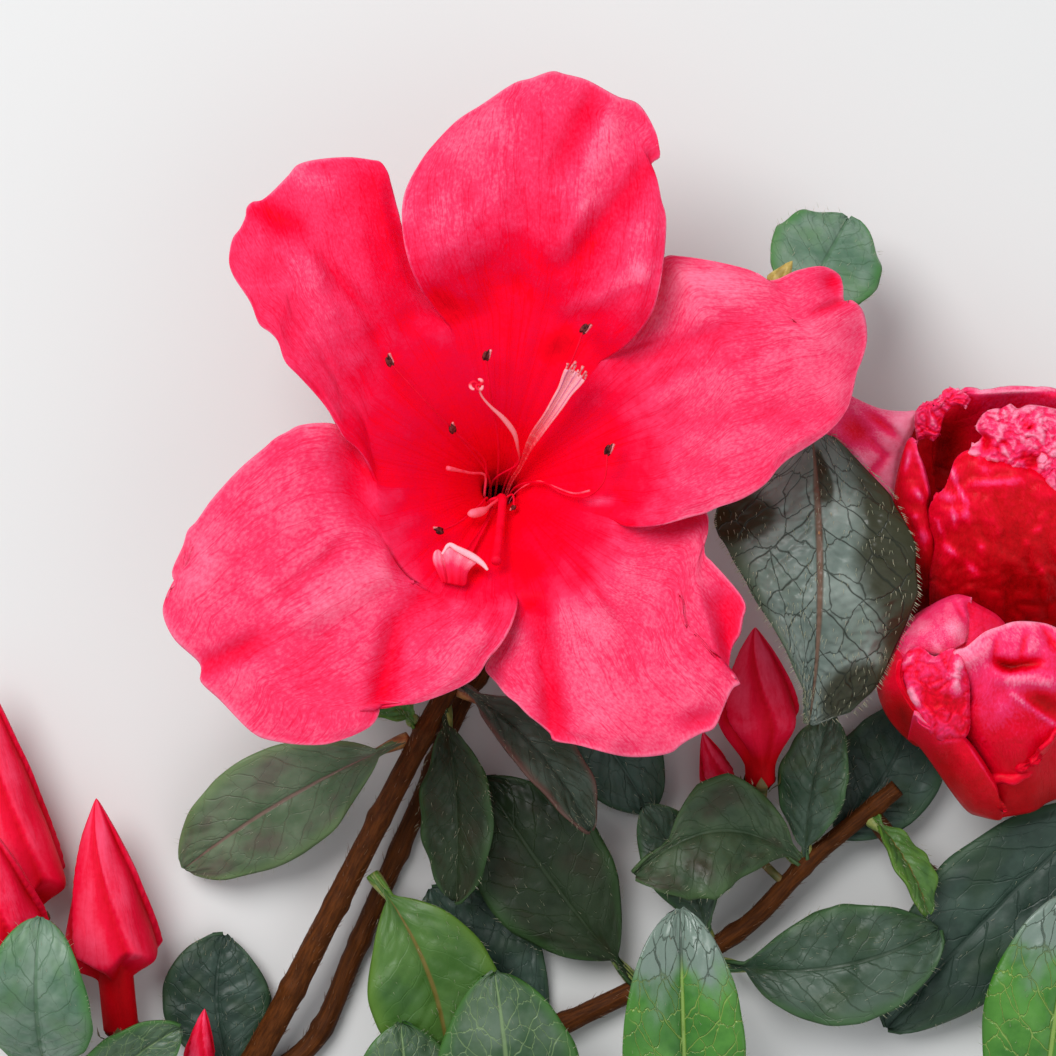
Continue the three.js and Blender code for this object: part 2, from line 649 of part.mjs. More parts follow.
// A petal that lies on a ball, narrow at its base and rounded at its top
function cuppedPetal({ middle, facing, radius, spiral }, [azimuth, half, start, end]) {
  const axis = new THREE.Vector3(...facing).normalize();
  const first = new THREE.Vector3().crossVectors(UP, axis).normalize();
  const second = new THREE.Vector3().crossVectors(axis, first);
  const centre = seen(middle);
  return sheet(
    (u, v) => {
      const width = half * (0.55 + 0.45 * smooth(0, 0.4, v)) * Math.sqrt(1 - 0.8 * v ** 8);
      const polar = THREE.MathUtils.degToRad(THREE.MathUtils.lerp(start, end - 14 * u * u, v));
      const turn = THREE.MathUtils.degToRad(azimuth + u * width);
      const distance = radius + (spiral * (u + 1)) / 2;
      return centre
        .clone()
        .addScaledVector(axis, -Math.cos(polar) * distance)
        .addScaledVector(first, Math.sin(polar) * Math.cos(turn) * distance)
        .addScaledVector(second, Math.sin(polar) * Math.sin(turn) * distance);
    },
    DOUBLE_ROWS,
    DOUBLE_PETAL_THICK,
  );
}

// The crinkled inner mass: a ball with ridges that cross it
function crinkledBall({ middle, core, crinkle }) {
  const centre = seen(middle);
  return toSolid(
    mapVertices(new THREE.IcosahedronGeometry(1, 3), (x, y, z) => {
      const ridge = Math.sin(7 * x + 4 * y) * Math.sin(6 * y - 5 * z) + 0.6 * Math.sin(11 * z + 3 * x);
      const distance = core + crinkle * ridge;
      return centre.clone().add(new THREE.Vector3(x, y, z).multiplyScalar(distance));
    }),
  );
}

function doubleBloom(bloom) {
  const { facing, middle, foot, radius, spiral, core, petals } = bloom;
  const axis = new THREE.Vector3(...facing).normalize();
  const base = seen(middle).addScaledVector(axis, DOUBLE_STALK_DEEP - core);
  const stalk = limb(stalkCurve(seen(foot), base, axis), [0.9, 1.8], { step: STALK_MESH.step });
  const low = base.clone().addScaledVector(axis, core - radius - spiral - RECEPTACLE.below);
  const receptacle = limb(new THREE.LineCurve3(low, base), RECEPTACLE.radii, {
    sides: RECEPTACLE.sides,
  });
  const bowl = petals.map((petal) => cuppedPetal(bloom, petal));
  return union([crinkledBall(bloom), ...bowl, receptacle, stalk]);
}

// The one outer petal of the upper double bloom that lies flat, out to the left
function outerLobe({ from, to, width, arch }) {
  const start = seen(from);
  const end = seen(to);
  const across = new THREE.Vector3().crossVectors(UP, end.clone().sub(start)).normalize();
  return sheet(
    (u, v) => {
      const half = (width * (0.75 + 0.25 * Math.sin(Math.PI * v)) * (1 - 0.45 * v ** 4)) / 2;
      const place = start.clone().lerp(end, v).addScaledVector(across, u * half);
      return place.addScaledVector(UP, arch * Math.sin(Math.PI * v) - u * u);
    },
    OUTER_LOBE_ROWS,
    DOUBLE_PETAL_THICK,
  );
}

const COLOURS = {
  bark: { color: 0x6b3320, roughness: 0.75 },
  leaf: { color: 0x35583a, roughness: 0.45 },
  young_leaf: { color: 0x4f8a2c, roughness: 0.45 },
  petal: { color: 0xe8203f, roughness: 0.5 },
  filament: { color: 0xd8283c, roughness: 0.5 },
  pale_petaloid: { color: 0xf08a98, roughness: 0.5 },
  stalk: { color: 0x7d7a2c, roughness: 0.6 },
};
const YOUNG_LEAVES = ["leaf_lower", "leaf_front_right", "leaf_corner", "leaf_small"];

const branch = new THREE.Group();
branch.name = "azalea_branch";

function add(name, solid, colour) {
  const material = new THREE.MeshStandardMaterial({ ...COLOURS[colour], metalness: 0 });
  const mesh = new THREE.Mesh(toGeometry(mainBody(solid.simplify(SMALLEST_DETAIL))), material);
  mesh.name = name;
  branch.add(mesh);
}

// The woody limbs, each cut clear of the ones before it
let wood = null;
for (const name of LIMB_ORDER) {
  const { route, radii } = LIMBS[name];
  const curve = limbCurve(route);
  const solid = limb(curve, radii);
  add(name, wood ? solid.subtract(wood) : solid, "bark");
  const grown = limb(curve, radii, { grow: GAP });
  wood = wood ? wood.add(grown) : grown;
}

for (const [name, shape] of Object.entries(LEAVES))
  add(name, leaf(shape).subtract(wood), YOUNG_LEAVES.includes(name) ? "young_leaf" : "leaf");

for (const [name, shape] of Object.entries(BUDS)) add(name, bud(shape).subtract(wood), "petal");

add("bloom_stalk", bloomStalk().subtract(wood), "stalk");
add("bloom_corolla", corolla(), "petal");
add("bloom_stamens", stamens(), "filament");
add("striped_petaloid", petaloid(STRIPED_PETALOID), "pale_petaloid");
add("curled_petaloid", petaloid(CURLED_PETALOID), "pale_petaloid");
add("pistil", petaloid(PISTIL), "pale_petaloid");

const { double_lower: lower, double_upper: upper } = DOUBLES;
const lowerMiddle = seen(lower.middle);
const clear = new THREE.SphereGeometry(lower.radius + lower.spiral + DOUBLES_APART, ...CLEAR_ROWS);
const lowerSpace = toSolid(clear.translate(lowerMiddle.x, lowerMiddle.y, lowerMiddle.z));
const upperBloom = doubleBloom(upper).add(outerLobe(OUTER_LOBE));
add("double_bloom_lower", doubleBloom(lower).subtract(wood), "petal");
add("double_bloom_upper", upperBloom.subtract(lowerSpace).subtract(wood), "petal");

branch.position.copy(BOX_MIDDLE).negate();

export default branch;
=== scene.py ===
import math
import random

import bmesh
import bpy
import numpy as np
from mathutils import Matrix, Vector, noise


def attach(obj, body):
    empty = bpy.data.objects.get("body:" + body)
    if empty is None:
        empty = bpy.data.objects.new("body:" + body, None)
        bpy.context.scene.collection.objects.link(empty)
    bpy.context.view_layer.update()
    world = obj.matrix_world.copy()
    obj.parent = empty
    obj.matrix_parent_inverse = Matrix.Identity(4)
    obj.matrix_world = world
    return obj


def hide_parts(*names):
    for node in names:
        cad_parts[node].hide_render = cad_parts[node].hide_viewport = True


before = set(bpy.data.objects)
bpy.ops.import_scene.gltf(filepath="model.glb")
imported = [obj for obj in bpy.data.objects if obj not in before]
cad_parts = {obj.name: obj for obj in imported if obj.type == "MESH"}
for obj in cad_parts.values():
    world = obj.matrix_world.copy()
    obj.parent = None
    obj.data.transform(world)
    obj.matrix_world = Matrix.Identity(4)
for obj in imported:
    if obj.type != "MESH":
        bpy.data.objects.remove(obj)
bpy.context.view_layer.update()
random.seed(7)
noise.seed_set(7)

# Millimetres until a piece is finished. Places are seen in the plane of the open bloom's face from the eye
# over it, and seen() carries each one down to its own height.
MM = 0.001
FACE_PLANE = 30.0
EYE_ABOVE = 400.0
PHOTO_WIDE = 1056
MM_PER_PIXEL = 0.107
SENSOR = 36
BOX_MIDDLE = (4.259, -25.296, 0.061)
SURFACE = 0.1
TO_FRAME = Matrix.Scale(MM, 4) @ Matrix.Translation(-Vector(BOX_MIDDLE))
UP = np.array([0.0, 0.0, 1.0])
RIGHT = np.array([1.0, 0.0, 0.0])

# The open bloom
THROAT = np.array([-3.0, 4.4, 15.5])
TUBE_FOOT = np.array([-4.2, -2.6, 5.8])
TUBE_RADII = (2.0, 1.9)
TUBE_FLOOR = 2.2
DISC_TOP = 2.5
STALK_FOOT = (-7.2, -14.6, 6.2)
STALK_HAIRS = 160
FUNNEL_RISE = 17.0
FUNNEL_REACH = 9.0
RECURVE_FROM = 27.0
RECURVE = 0.012
FACE_TILT = 0.09
PETAL_THICK = 0.34

# Where two lobes part, as turn in degrees round the throat and distance from it
SINUS = {
    "top_left": (106.9, 17.6),
    "left": (180.0, 13.0),
    "bottom": (278.1, 11.3),
    "right": (343.7, 12.5),
    "top_right": (411.4, 17.1),
}

# Each lobe's outline runs from its left sinus by the tip to its right one. The two corners are the points
# where the sides end. Edges over a neighbour have a lift above 0, and edges under one a lift below 0. The
# painted sheen, where red turns to pink, is given as distances from the throat and how much. A fold is a
# soft crease from x, y to x, y, with its width, its height and its painted light: paler for a painted
# highlight on a ridge, darker for painted shade in a crease or under a neighbour's edge.
LOBES = {
    "top": {
        "sinuses": ("top_left", "top_right"), "layer": 3, "lifts": (1.2, 1.3), "corners": (4, 15),
        "painted_sheen": (18, 34, 0.24),
        "margin": [
            (-11.6, 25.7), (-13.3, 30.8), (-13.3, 35.5), (-11.4, 39.4), (-9.8, 41.4), (-7.5, 43.7),
            (-5, 45.3), (-1.3, 47.7), (0.2, 48.1), (2.7, 48.9), (3.9, 48.6), (6.2, 48), (9.6, 46.2),
            (11.8, 45.4), (13.7, 42.3), (14, 41), (14.1, 39.7), (13.3, 39.1), (13.2, 38.4),
            (13.7, 37.7), (14.3, 35.1), (14.8, 33), (13.4, 23.3), (11.1, 20.1), (9.8, 19),
        ],
        "folds": [
            (7.5, 46.7, 3.4, 38.8, 1.4, -0.9, -0.25), (3.4, 38.8, -3, 25.5, 3.4, -0.8, -0.12),
            (9.6, 45.3, 3.4, 29.7, 1.8, 0.8, 0.1), (13.8, 39.6, 4.7, 28.2, 1.5, -1, -0.3),
            (12.5, 27.6, 3.4, 22.7, 1.3, 0.5, 0.16), (-10.7, 24.8, -7.7, 22.9, 1.4, -0.9, -0.3),
            (1.9, 18.8, 4.9, 20.3, 1.2, -0.9, -0.5), (-9.4, 40.4, -0.9, 44.7, 2.4, 0.5, 0.08),
            (-9.4, 35.1, -8.3, 28.1, 2.6, 0.2, 0.12), (12, 33, 12, 24.4, 1.9, 0.3, 0.1),
        ],
    },
    "upper_left": {
        "sinuses": ("left", "top_left"), "layer": 1.2, "lifts": (1.1, -1.1), "corners": (13, 24),
        "painted_sheen": (14, 24, 0.2),
        "margin": [
            (-16.7, 6.2), (-17.3, 7.3), (-18.3, 8.5), (-19.6, 9.6), (-20.4, 11), (-22, 13.4),
            (-24.4, 16.1), (-26, 17.8), (-26.8, 20), (-27.6, 20.9), (-28.7, 21.7), (-29.7, 24.1),
            (-31.6, 27.1), (-32, 28.5), (-31.6, 31), (-30.8, 32.1), (-30.2, 33.5), (-30.1, 34.3),
            (-29.5, 34.9), (-28.5, 35.1), (-25.7, 37.7), (-24.6, 38.9), (-19.6, 39.7), (-16.7, 39.4),
            (-15.8, 39.2), (-15, 38.1), (-14.6, 36.7), (-11.6, 26.5),
        ],
        "folds": [
            (-22, 28.9, -16.7, 22.5, 0.7, -0.7, -0.14), (-16.7, 22.5, -13.5, 13.7, 1, -0.5, -0.1),
            (-16.7, 38.1, -13.5, 21.2, 2.9, 0.3, -0.34), (-29.7, 34.5, -24.2, 31.9, 1.4, -1, -0.42),
            (-26, 38, -20.7, 36.6, 1.4, 0.6, 0.12), (-24.4, 29.7, -21.2, 21.2, 1.9, 0.5, 0.06),
            (-28.5, 34.2, -28.5, 29.7, 0.9, 0.4, 0.05),
        ],
    },
    "left": {
        "sinuses": ("bottom", "left"), "layer": 0.4, "lifts": (0.9, -1.1), "corners": (10, 23),
        "painted_sheen": (8.5, 17, 0.27),
        "margin": [
            (-1.1, -7.7), (-1.7, -10.1), (-3, -12.5), (-4.1, -13.8), (-5.7, -16.1), (-11.6, -18.7),
            (-13.2, -18.9), (-15.8, -18.8), (-15.9, -19.7), (-16.5, -20.9), (-18, -21.9),
            (-22.3, -23.2), (-28.1, -22.6), (-29.5, -21.9), (-33, -18.4), (-35.1, -16.3), (-35, -15.4),
            (-35.1, -14.6), (-38, -11.7), (-39.1, -8.8), (-38.3, -6.6), (-37.4, -6), (-37.9, -5.6),
            (-38.1, -4.7), (-36.9, -1.8), (-36.4, -0.2), (-35.6, 0.6), (-33.9, 3), (-30.6, 6.6),
            (-28.1, 8.7), (-27.1, 9.6), (-25.8, 10.3), (-24.4, 11), (-20.5, 11.1), (-18.8, 9.8),
            (-17.3, 7.7),
        ],
        "folds": [
            (-19.8, 9.4, -17.8, 2.4, 2.1, -0.9, -0.4), (-8.9, -5.6, -14.2, -10.4, 1.5, -0.8, -0.22),
            (-14.2, -10.4, -15.8, -19, 1.4, -1.5, -0.42), (-13.7, -3.4, -25.5, -10.1, 1.9, 0.8, 0.08),
            (-18.8, -1.1, -27.1, -7.9, 1, -0.4, -0.1), (-28.1, -11.8, -35.1, -15.2, 1.3, -0.9, -0.36),
            (-10.5, -7.7, -11, -13.6, 1.9, -0.1, -0.12), (-4.6, -8.2, -9.4, -17.3, 1.7, 0.7, 0.05),
            (-21.2, -12, -21.2, -21.6, 2.4, -0.3, -0.08), (-31.9, 0.9, -36.2, -7.7, 2.1, 0.4, 0.06),
            (-6.1, -5, -4.8, -4.8, 0.5, -0.2, -0.45),
        ],
    },
    "bottom": {
        "sinuses": ("right", "bottom"), "layer": -1.6, "lifts": (-0.9, -0.9), "corners": (7, 20),
        "painted_sheen": (8, 17, 0.28),
        "margin": [
            (12, 0.4), (17.3, 1.9), (19, 1.7), (19.3, -0.2), (18.9, -1.8), (19, -2.9), (19.7, -3.6),
            (23.2, -8.2), (22.9, -9.6), (22.5, -11.4), (21.9, -12.5), (21.7, -15.9), (22.8, -16.6),
            (22, -17.1), (19.8, -21.4), (18.6, -21.9), (16.4, -23.2), (15.4, -24), (10.9, -24.5),
            (5.6, -23.3), (2.7, -22.5), (2.4, -21.8), (0.2, -20.1), (-1.1, -18.8), (-2.5, -17.7),
            (-3.3, -16.7), (-4.6, -15), (-3.9, -13.6), (-3, -12), (-2.1, -9.8),
        ],
        "folds": [
            (-0.6, -3.4, 1.8, -12, 1.6, -1, -0.3), (1.8, -12, 3.1, -22.7, 1.3, -1.7, -0.4),
            (4.3, -2.6, 9.4, -8.8, 0.6, -0.7, -0.22), (21, -6.6, 21.5, -15, 1.7, -1.6, -0.4),
            (17.1, -4.3, 21.5, -16.5, 0.9, 0.9, 0.04), (16.3, -20.9, 20.3, -20.1, 1.2, -0.5, -0.26),
            (6.6, -6.6, 9.8, -22.7, 3, 0.9, 0.06), (13.6, -0.6, 19, 1.3, 1.2, -0.6, -0.36),
            (-3, -13.1, 0.2, -20, 1.3, 0.3, -0.04),
        ],
    },
    "right": {
        "sinuses": ("top_right", "right"), "layer": 1, "lifts": (-1.2, 1), "corners": (7, 16),
        "painted_sheen": (11.5, 21, 0.28),
        "margin": [
            (10.4, 20.7), (12.5, 24.4), (14.6, 29), (16.3, 29.1), (23.8, 27.6), (25.9, 26.5),
            (28.9, 27.6), (31.6, 28), (33.3, 27.1), (33.7, 26), (33.9, 24.3), (34.6, 24.4),
            (35.8, 23.3), (36.3, 20.3), (35.7, 17.8), (35.3, 16.9), (34.2, 12.8), (32.3, 10.4),
            (27.8, 7.3), (26.8, 6.4), (25.4, 4.7), (22.9, 3.1), (20.3, 2.2), (19, 1.6), (17.3, 1.2),
            (14.1, 0.3), (10.4, 0.2),
        ],
        "folds": [
            (9, 17.1, 22.9, 21.8, 1.2, -0.5, -0.24), (9, 14.3, 18.4, 18, 0.9, -0.4, -0.2),
            (9.8, 18.8, 14.7, 20.4, 0.3, -0.3, -0.16), (30.4, 22.9, 34.5, 24.4, 0.5, -0.6, -0.22),
            (31.7, 26.4, 33.7, 26.4, 1, -0.7, -0.42), (13.1, 11.1, 33.9, 12.4, 1.4, -0.4, -0.1),
            (13.1, 8.1, 20.5, 5.8, 1.3, -0.2, -0.1), (15.4, 27, 25.4, 25.7, 1.6, 0.5, 0.1),
            (24.8, 21.2, 33.4, 21.2, 1.7, 0.4, 0.04), (6.6, 2.7, 9.2, 3, 0.6, 0.3, 0.3),
        ],
    },
}
LOBE_ACROSS = 88
LOBE_ALONG = 102
TUBE_SHARE = 0.08
FUNNEL_SHARE = 0.23
TIP_WAVE = 0.5
RIBS = 7

# Threads of the open bloom: turn of the foot round the tube in degrees, then places seen with the height
# over the face. A seat is how far up the tube and how far out a thread starts and leaves it.
THREAD_SEAT = ((0.2, 1.2), (9.6, 1.62))
PETALOID_SEAT = ((1.0, 0.9), (9.6, 1.5))
FILAMENTS = [
    {"turn": 62, "way": [(0.2, 9, 2.2), (3.4, 15, 3.2), (5.3, 19.4, 3.6), (5.9, 21.1, 3.6)]},
    {"turn": 98, "way": [(-3.2, 9.4, 2), (-4, 14.4, 2.8), (-4.5, 18.2, 3.2)]},
    {"turn": 165, "way": [(-4.6, 7, 1.6), (-6.4, 9, 2), (-8, 10.4, 2.2)]},
    {"turn": 15, "way": [
        (1.8, 4.8, 1.6), (3.7, 3.7, 1.8), (6.4, 3.4, 2.2), (8.1, 5, 2.8), (8.5, 8.1, 3.2)]},
    {"turn": 216, "way": [(-5.2, 2.4, 1.6), (-7.4, 0.6, 2), (-9.3, -0.3, 2.2)]},
    {"turn": 130, "way": [(-6.4, 8.6, 1.8), (-11, 13.6, 2), (-14.7, 17.6, 2)]},
    {"turn": 275, "size": 0.6, "way": [(-1.7, 3.6, 1.6), (-1.5, 2.3, 1.8)]},
]
STYLE = {"turn": 262, "way": [(-2.8, 3.3, 2), (-2.9, 0.9, 2.6), (-3.2, -1.8, 3), (-3.4, -3.6, 3.2)]}
BLOB = {"turn": 232, "way": [
    (-3, 3.2, 1.8), (-3.9, 2.5, 2.4), (-4.7, 1.9, 2.8), (-5.6, 1.6, 3), (-6.3, 1.5, 3)]}
LEFT_THREAD = {"turn": 186, "way": [(-4.6, 5.6, 1.6), (-6.2, 5.9, 1.8), (-8.6, 6.4, 2)]}
RIGHT_THREAD = {"turn": 345, "way": [(1, 5, 1.2), (2.4, 4.6, 1.4), (5, 3.7, 1.6), (6.6, 4, 1.8)]}
PALE_THREAD = {"turn": 120, "way": [
    (-1, 7, 2.2), (-1.1, 8.6, 2.8), (-1.5, 10.2, 3.3), (-2.7, 11.8, 3.9), (-4, 13, 4.4), (-5, 14.2, 4.8),
    (-5.4, 15.4, 5)]}
STRIPED = {"turn": 40, "way": [(-0.9, 6.4, 2.2), (0.5, 9.4, 2.8), (2.7, 12.6, 3.3), (5.2, 16.7, 3.8)]}
CURLED_FOOT = {"turn": 240, "way": [(-4.2, 1.2, 1.2), (-6, -2, 0.8), (-7.6, -4.6, 0.6)]}
# The curled petaloid's two flaps: outline, its other three corners and the heights at all four
CURLED = [
    ([(-9.2, -5.9), (-9.8, -4.6), (-10.2, -3.4), (-10, -2.5), (-9.6, -2.3), (-9.1, -2.7), (-8.7, -4),
      (-8.6, -5.8)], (3, 5, 7), (1, 2.2, 2.4, 1.1)),
    ([(-8.8, -5.9), (-9, -4), (-8.9, -2.1), (-8.3, -1.7), (-7.5, -2.1), (-6.4, -2.7), (-5.4, -3.5),
      (-6, -4.2), (-6.4, -4.8), (-6.7, -6.1)], (2, 6, 9), (1, 3, 2.8, 1)),
]
CURL_RIM = [(-9.2, -2.8, 2.5), (-8.4, -1.8, 3.2), (-7.6, -2.2, 3.5), (-6.6, -2.7, 3.5), (-5.7, -3.2, 3.4),
            (-4.9, -3.8, 3.1), (-4.3, -4.5, 2.7)]

# Woody limbs: the routes of the frame's solids and the radius at each end
LIMBS = {
    "main_stem": ([
        (-37, -71.4, 1.8), (-33.6, -64.6, 2), (-30, -58.2, 2.9), (-26, -50.9, 4.4), (-20.6, -40.3, 5.8),
        (-13.2, -25.9, 6.8), (-7.6, -15.4, 6.2)], (1.7, 1.25)),
    "rear_stem": ([
        (-31.4, -60.6, 2), (-26.6, -58, 1.5), (-22.6, -54.4, 1.3), (-18.6, -45.5, 1.3), (-12, -30.4, 1.5),
        (-5.5, -16, 1.8), (6, -4, 3.2), (16.5, 3.2, 7.6), (25, 8, 13), (28.4, 14.6, 17),
        (26.8, 24, 21)], (1.3, 0.9)),
    "right_stem": ([
        (-33.4, -64.4, 1.9), (-24, -63, 1.6), (-8, -58, 1.4), (6, -52, 1.6), (22.7, -43, 3.2),
        (30.5, -35.2, 4.6), (39.5, -27.8, 6.4)], (1.4, 1.05)),
    "front_shoot": ([
        (-35, -67.4, 1.8), (-25, -70, 1.6), (-11, -72.6, 2), (3, -72, 2.6), (18, -70.6, 2.6),
        (37, -73.6, 2), (55.5, -69.6, 3.6)], (1.3, 0.9)),
    "left_shoot": ([
        (-34.4, -66, 1.9), (-40, -66, 1.5), (-46, -64, 1.4), (-52, -58.6, 2),
        (-54.6, -52.6, 3.4)], (1.25, 0.8)),
    "right_shoot": ([
        (36.6, -30.6, 5.4), (41.5, -36, 3.2), (48, -39, 1.8), (57, -36.4, 1.8), (65.6, -28, 3),
        (69, -18, 5), (69, -9.4, 7)], (1.1, 0.9)),
}
NODE_EVERY = 11
HAIRS_PER_MM = 3

# Leaves: base and tip as seen with their heights, width, arch, bow, roll in degrees, fold and finish
LEAVES = {
    "leaf_left": ((-12.6, -22.6, 6.8), (-36.9, -36.6, 3.2), 13, 3, -1.2, 8, 0.05, "bronze"),
    "leaf_lower": ((-16.8, -37, 6.6), (-8.4, -60, 5), 15, 2.6, 2.4, 0, 0.1, "young"),
    "leaf_node": ((-12, -21, 7), (-17.4, -15.2, 10), 5.5, 0.5, 0, 0, 0.1, "young"),
    "leaf_front_left": ((-11.5, -72.4, 3), (-13.6, -53, 9.6), 13.4, 2.2, 0, -6, -0.1, "front"),
    "leaf_front_middle": ((-1.6, -71.8, 3.4), (-3.6, -47.5, 15.5), 16.4, 4, -0.6, 4, -0.1, "front"),
    "leaf_front_right": ((17.3, -70.6, 3.4), (16.3, -40.7, 15), 13.7, 5, 0.3, 0, 0.3, "bright"),
    "leaf_corner": ((54.8, -69.8, 4.4), (59.2, -38.7, 12), 16, 4, 1.5, 8, 0.12, "bright"),
    "leaf_right_low": ((20.4, -46.6, 3.4), (44, -42.9, 7.6), 13.4, 3.4, -2, 6, 0.06, "dark"),
    "leaf_middle": ((29.4, -35.8, 5), (11.4, -37.2, 9), 18, 3, -4.6, -6, 0.25, "olive"),
    "leaf_middle_small": ((19.4, -44.4, 3.6), (12.4, -29.8, 5.2), 8.4, 0.6, -1, 0, 0.05, "dark"),
    "leaf_centre": ((11.4, -48.6, 2.6), (-4.8, -26.8, 5.2), 15, 2, 0.6, 0, 0.06, "shade"),
    "leaf_centre_low": ((4.2, -53.8, 1.8), (-10.4, -38.6, 1.4), 13, 0.4, 1, 0, 0.05, "blue_green"),
    "leaf_under_right": ((-7.8, -16.6, 6.4), (6.8, -32.4, 9.6), 7.6, 3, 2, 34, 0.3, "folded"),
    "leaf_under_left": ((-9.4, -18.6, 6.6), (-8, -40, 8.4), 9.4, 2.6, 1, -26, 0.1, "shade"),
    "leaf_under_deep": ((-2.4, -12.6, 2.4), (13, -30.6, 2.2), 12, 1.4, 1.6, 0, 0.05, "blue_green"),
    "leaf_hidden_left": ((-8.4, -16.8, 6.4), (-28, -4, 0.35), 11, 4, 1, 0, 0.05, "dark"),
    "leaf_hidden_top": ((22, 6.4, 11), (8.5, 25.5, 0.35), 11, 3, 1, 0, 0.05, "dark"),
    "leaf_up_narrow": ((29.6, -36, 4.8), (32.4, -20, 7), 8.6, 2, 1, 28, 0.05, "dark"),
    "leaf_up_broad": ((31.2, -34.8, 4), (41.6, -18.6, 1.6), 12.4, 1, -1.4, 0, 0.05, "blue_green"),
    "leaf_small": ((36.8, -30.6, 6), (43, -41.4, 10), 5, 2.4, 0.8, 40, 0.3, "young"),
    "leaf_right_hanging": ((66.6, -26, 4.6), (38.4, -53.6, 3.4), 15.5, 3, -1.5, 0, 0.05, "blue_green"),
    "leaf_veined": ((30.2, 11.4, 17.6), (30, -21.1, 17), 21.5, 7, 0.6, -4, -0.16, "veined"),
    "leaf_top_right": ((27.1, 20.4, 20.4), (34.4, 33.4, 10), 13, 2.6, 0, 0, 0.05, "pale"),
    "leaf_corner_left": ((-51.4, -59.2, 3), (-52.2, -41.5, 19), 12.6, 7, 0, 0, 0.12, "pale"),
    "leaf_left_low": ((-47.4, -63, 2.4), (-37.2, -53.6, 12), 9, 3, 1.2, -20, 0.2, "front"),
    "leaf_stem_left": ((-31.2, -59.6, 2.2), (-32.5, -43.6, 2.4), 12.4, 0.4, 1.5, 0, 0.05, "blue_green"),
    "leaf_shoot_left": ((-40.6, -65.6, 1.6), (-39, -87, 3), 10.5, 3, 0, 0, 0.08, "dark"),
    "leaf_shoot_middle": ((6, -71.6, 2.8), (13, -91, 4), 11, 4, 1, 0, 0.08, "dark"),
    "leaf_shoot_right": ((38, -73.4, 2.2), (34, -93, 3), 11, 4, -1, 0, 0.08, "dark"),
}
LEAF_THICK = 0.4
STALK_SHARE = 0.12
STALK_HALF = 0.32
# Half widths of leaves that are not even, along the way and on each side of it
UNEVEN = {
    "leaf_veined": {
        1: ((0, 0.09, 0.16, 0.235, 0.3, 0.36, 0.56, 0.74, 0.885, 1),
            (0.3, 2.7, 5.9, 10.9, 11.3, 11.1, 7.5, 3.5, 0.9, 0.2)),
        -1: ((0, 0.02, 0.126, 0.25, 0.415, 0.56, 0.7, 0.885, 0.96, 1),
             (0.3, 1.4, 4.4, 8.2, 10.5, 10.8, 9.1, 6.5, 4.5, 0.2)),
    },
    "leaf_middle": {
        1: ((0, 0.12, 0.3, 0.48, 0.58, 0.7, 0.76, 1), (0.3, 1.2, 4, 6.4, 5.4, 2.2, 0.7, 0.3)),
        -1: ((0, 0.1, 0.25, 0.45, 0.65, 0.85, 0.95, 1), (0.3, 0.5, 3.4, 6.4, 7.6, 6.2, 3.4, 0.3)),
    },
}
# Side veins: how many pairs, how steeply they climb and how far one side runs ahead of the other
VEIN_PAIRS = 8.0
VEIN_CLIMB = 1.9
VEIN_STAGGER = 0.22
# The large veined leaf has a finer mesh and more hairs than the others
FINE_LEAF = "leaf_veined"
RED_RIBBED = ("leaf_left", "leaf_veined", "leaf_under_right")
LEAF_GRID = (34, 62)
LEAF_HAIRS = 110
FINE_GRID = (84, 150)
FINE_HAIRS = 800
RIB_DEPTH = 0.78
RIB_SHARE = 0.93

# Buds: foot of the stalk, base and tip of the closed corolla, width, how far up it starts to widen and over
# what share it does
BUDS = {
    "bud_middle": ((29.2, -36.2, 4.6), (24.9, -28, 5.4), (24.3, -10.6, 8.6), 9, 0.14, 0.34),
    "bud_small": ((27.2, -37.8, 4.2), (21, -29, 3.4), (18.7, -21.8, 4.8), 4, 0.06, 0.2),
    "bud_left": ((-46.6, -63.4, 1.8), (-43.4, -54.8, 5.2), (-46.2, -28.9, 6.8), 10.6, 0.28, 0.08),
    "bud_edge_tall": ((-50.4, -60.2, 1.8), (-53.4, -43, 4.8), (-59, -14.6, 7.4), 10.6, 0.1, 0.07),
    "bud_edge_low": ((-54.6, -53, 3.4), (-56.6, -48, 12.4), (-58, -31.6, 17), 12.6, 0.06, 0.12),
    "bud_tip": ((-34, -63, 2.2), (-35.4, -58.4, 5.2), (-34.6, -51.4, 6.8), 3.4, 0.06, 0.2),
    "bud_rear": ((26.9, 23.4, 21), (26, 25.4, 21.4), (28.3, 28.6, 22.4), 2.4, 0.06, 0.2),
}
BUD_TUBE = 0.42
BUD_GRID = (110, 120)
SMALL_BUD_GRID = (48, 40)
PETALS = 5

# The double blooms: petals are azimuth, half width, start and end in degrees round and up from the base
DOUBLES = {
    "double_upper": {
        "node": "double_bloom_upper", "foot": (68.6, -10.4, 6.8), "middle": (51.4, 2.8, 13),
        "facing": (-0.42, 0.2, 0.88), "radius": 8.2, "core": 5, "crinkle": 1, "pitch": 0.42,
        "petals": [(185, 52, 20, 88), (105, 50, 20, 96), (20, 52, 20, 100), (280, 52, 20, 82)],
    },
    "double_lower": {
        "node": "double_bloom_lower", "foot": (69, -15.4, 5.4), "middle": (49.2, -19, 19),
        "facing": (-0.72, 0.24, 0.65), "radius": 7.6, "core": 4.8, "crinkle": 0.9, "pitch": 0.3,
        "petals": [(255, 58, 16, 68), (165, 58, 16, 66), (75, 56, 16, 72), (345, 60, 16, 66)],
    },
}
PETAL_SPIRAL = 1.2
DOUBLE_THICK = 0.5
CORE_LOWERED = 2.5
CRUMPLED_GRID = 96
SMOOTH_GRID = 64
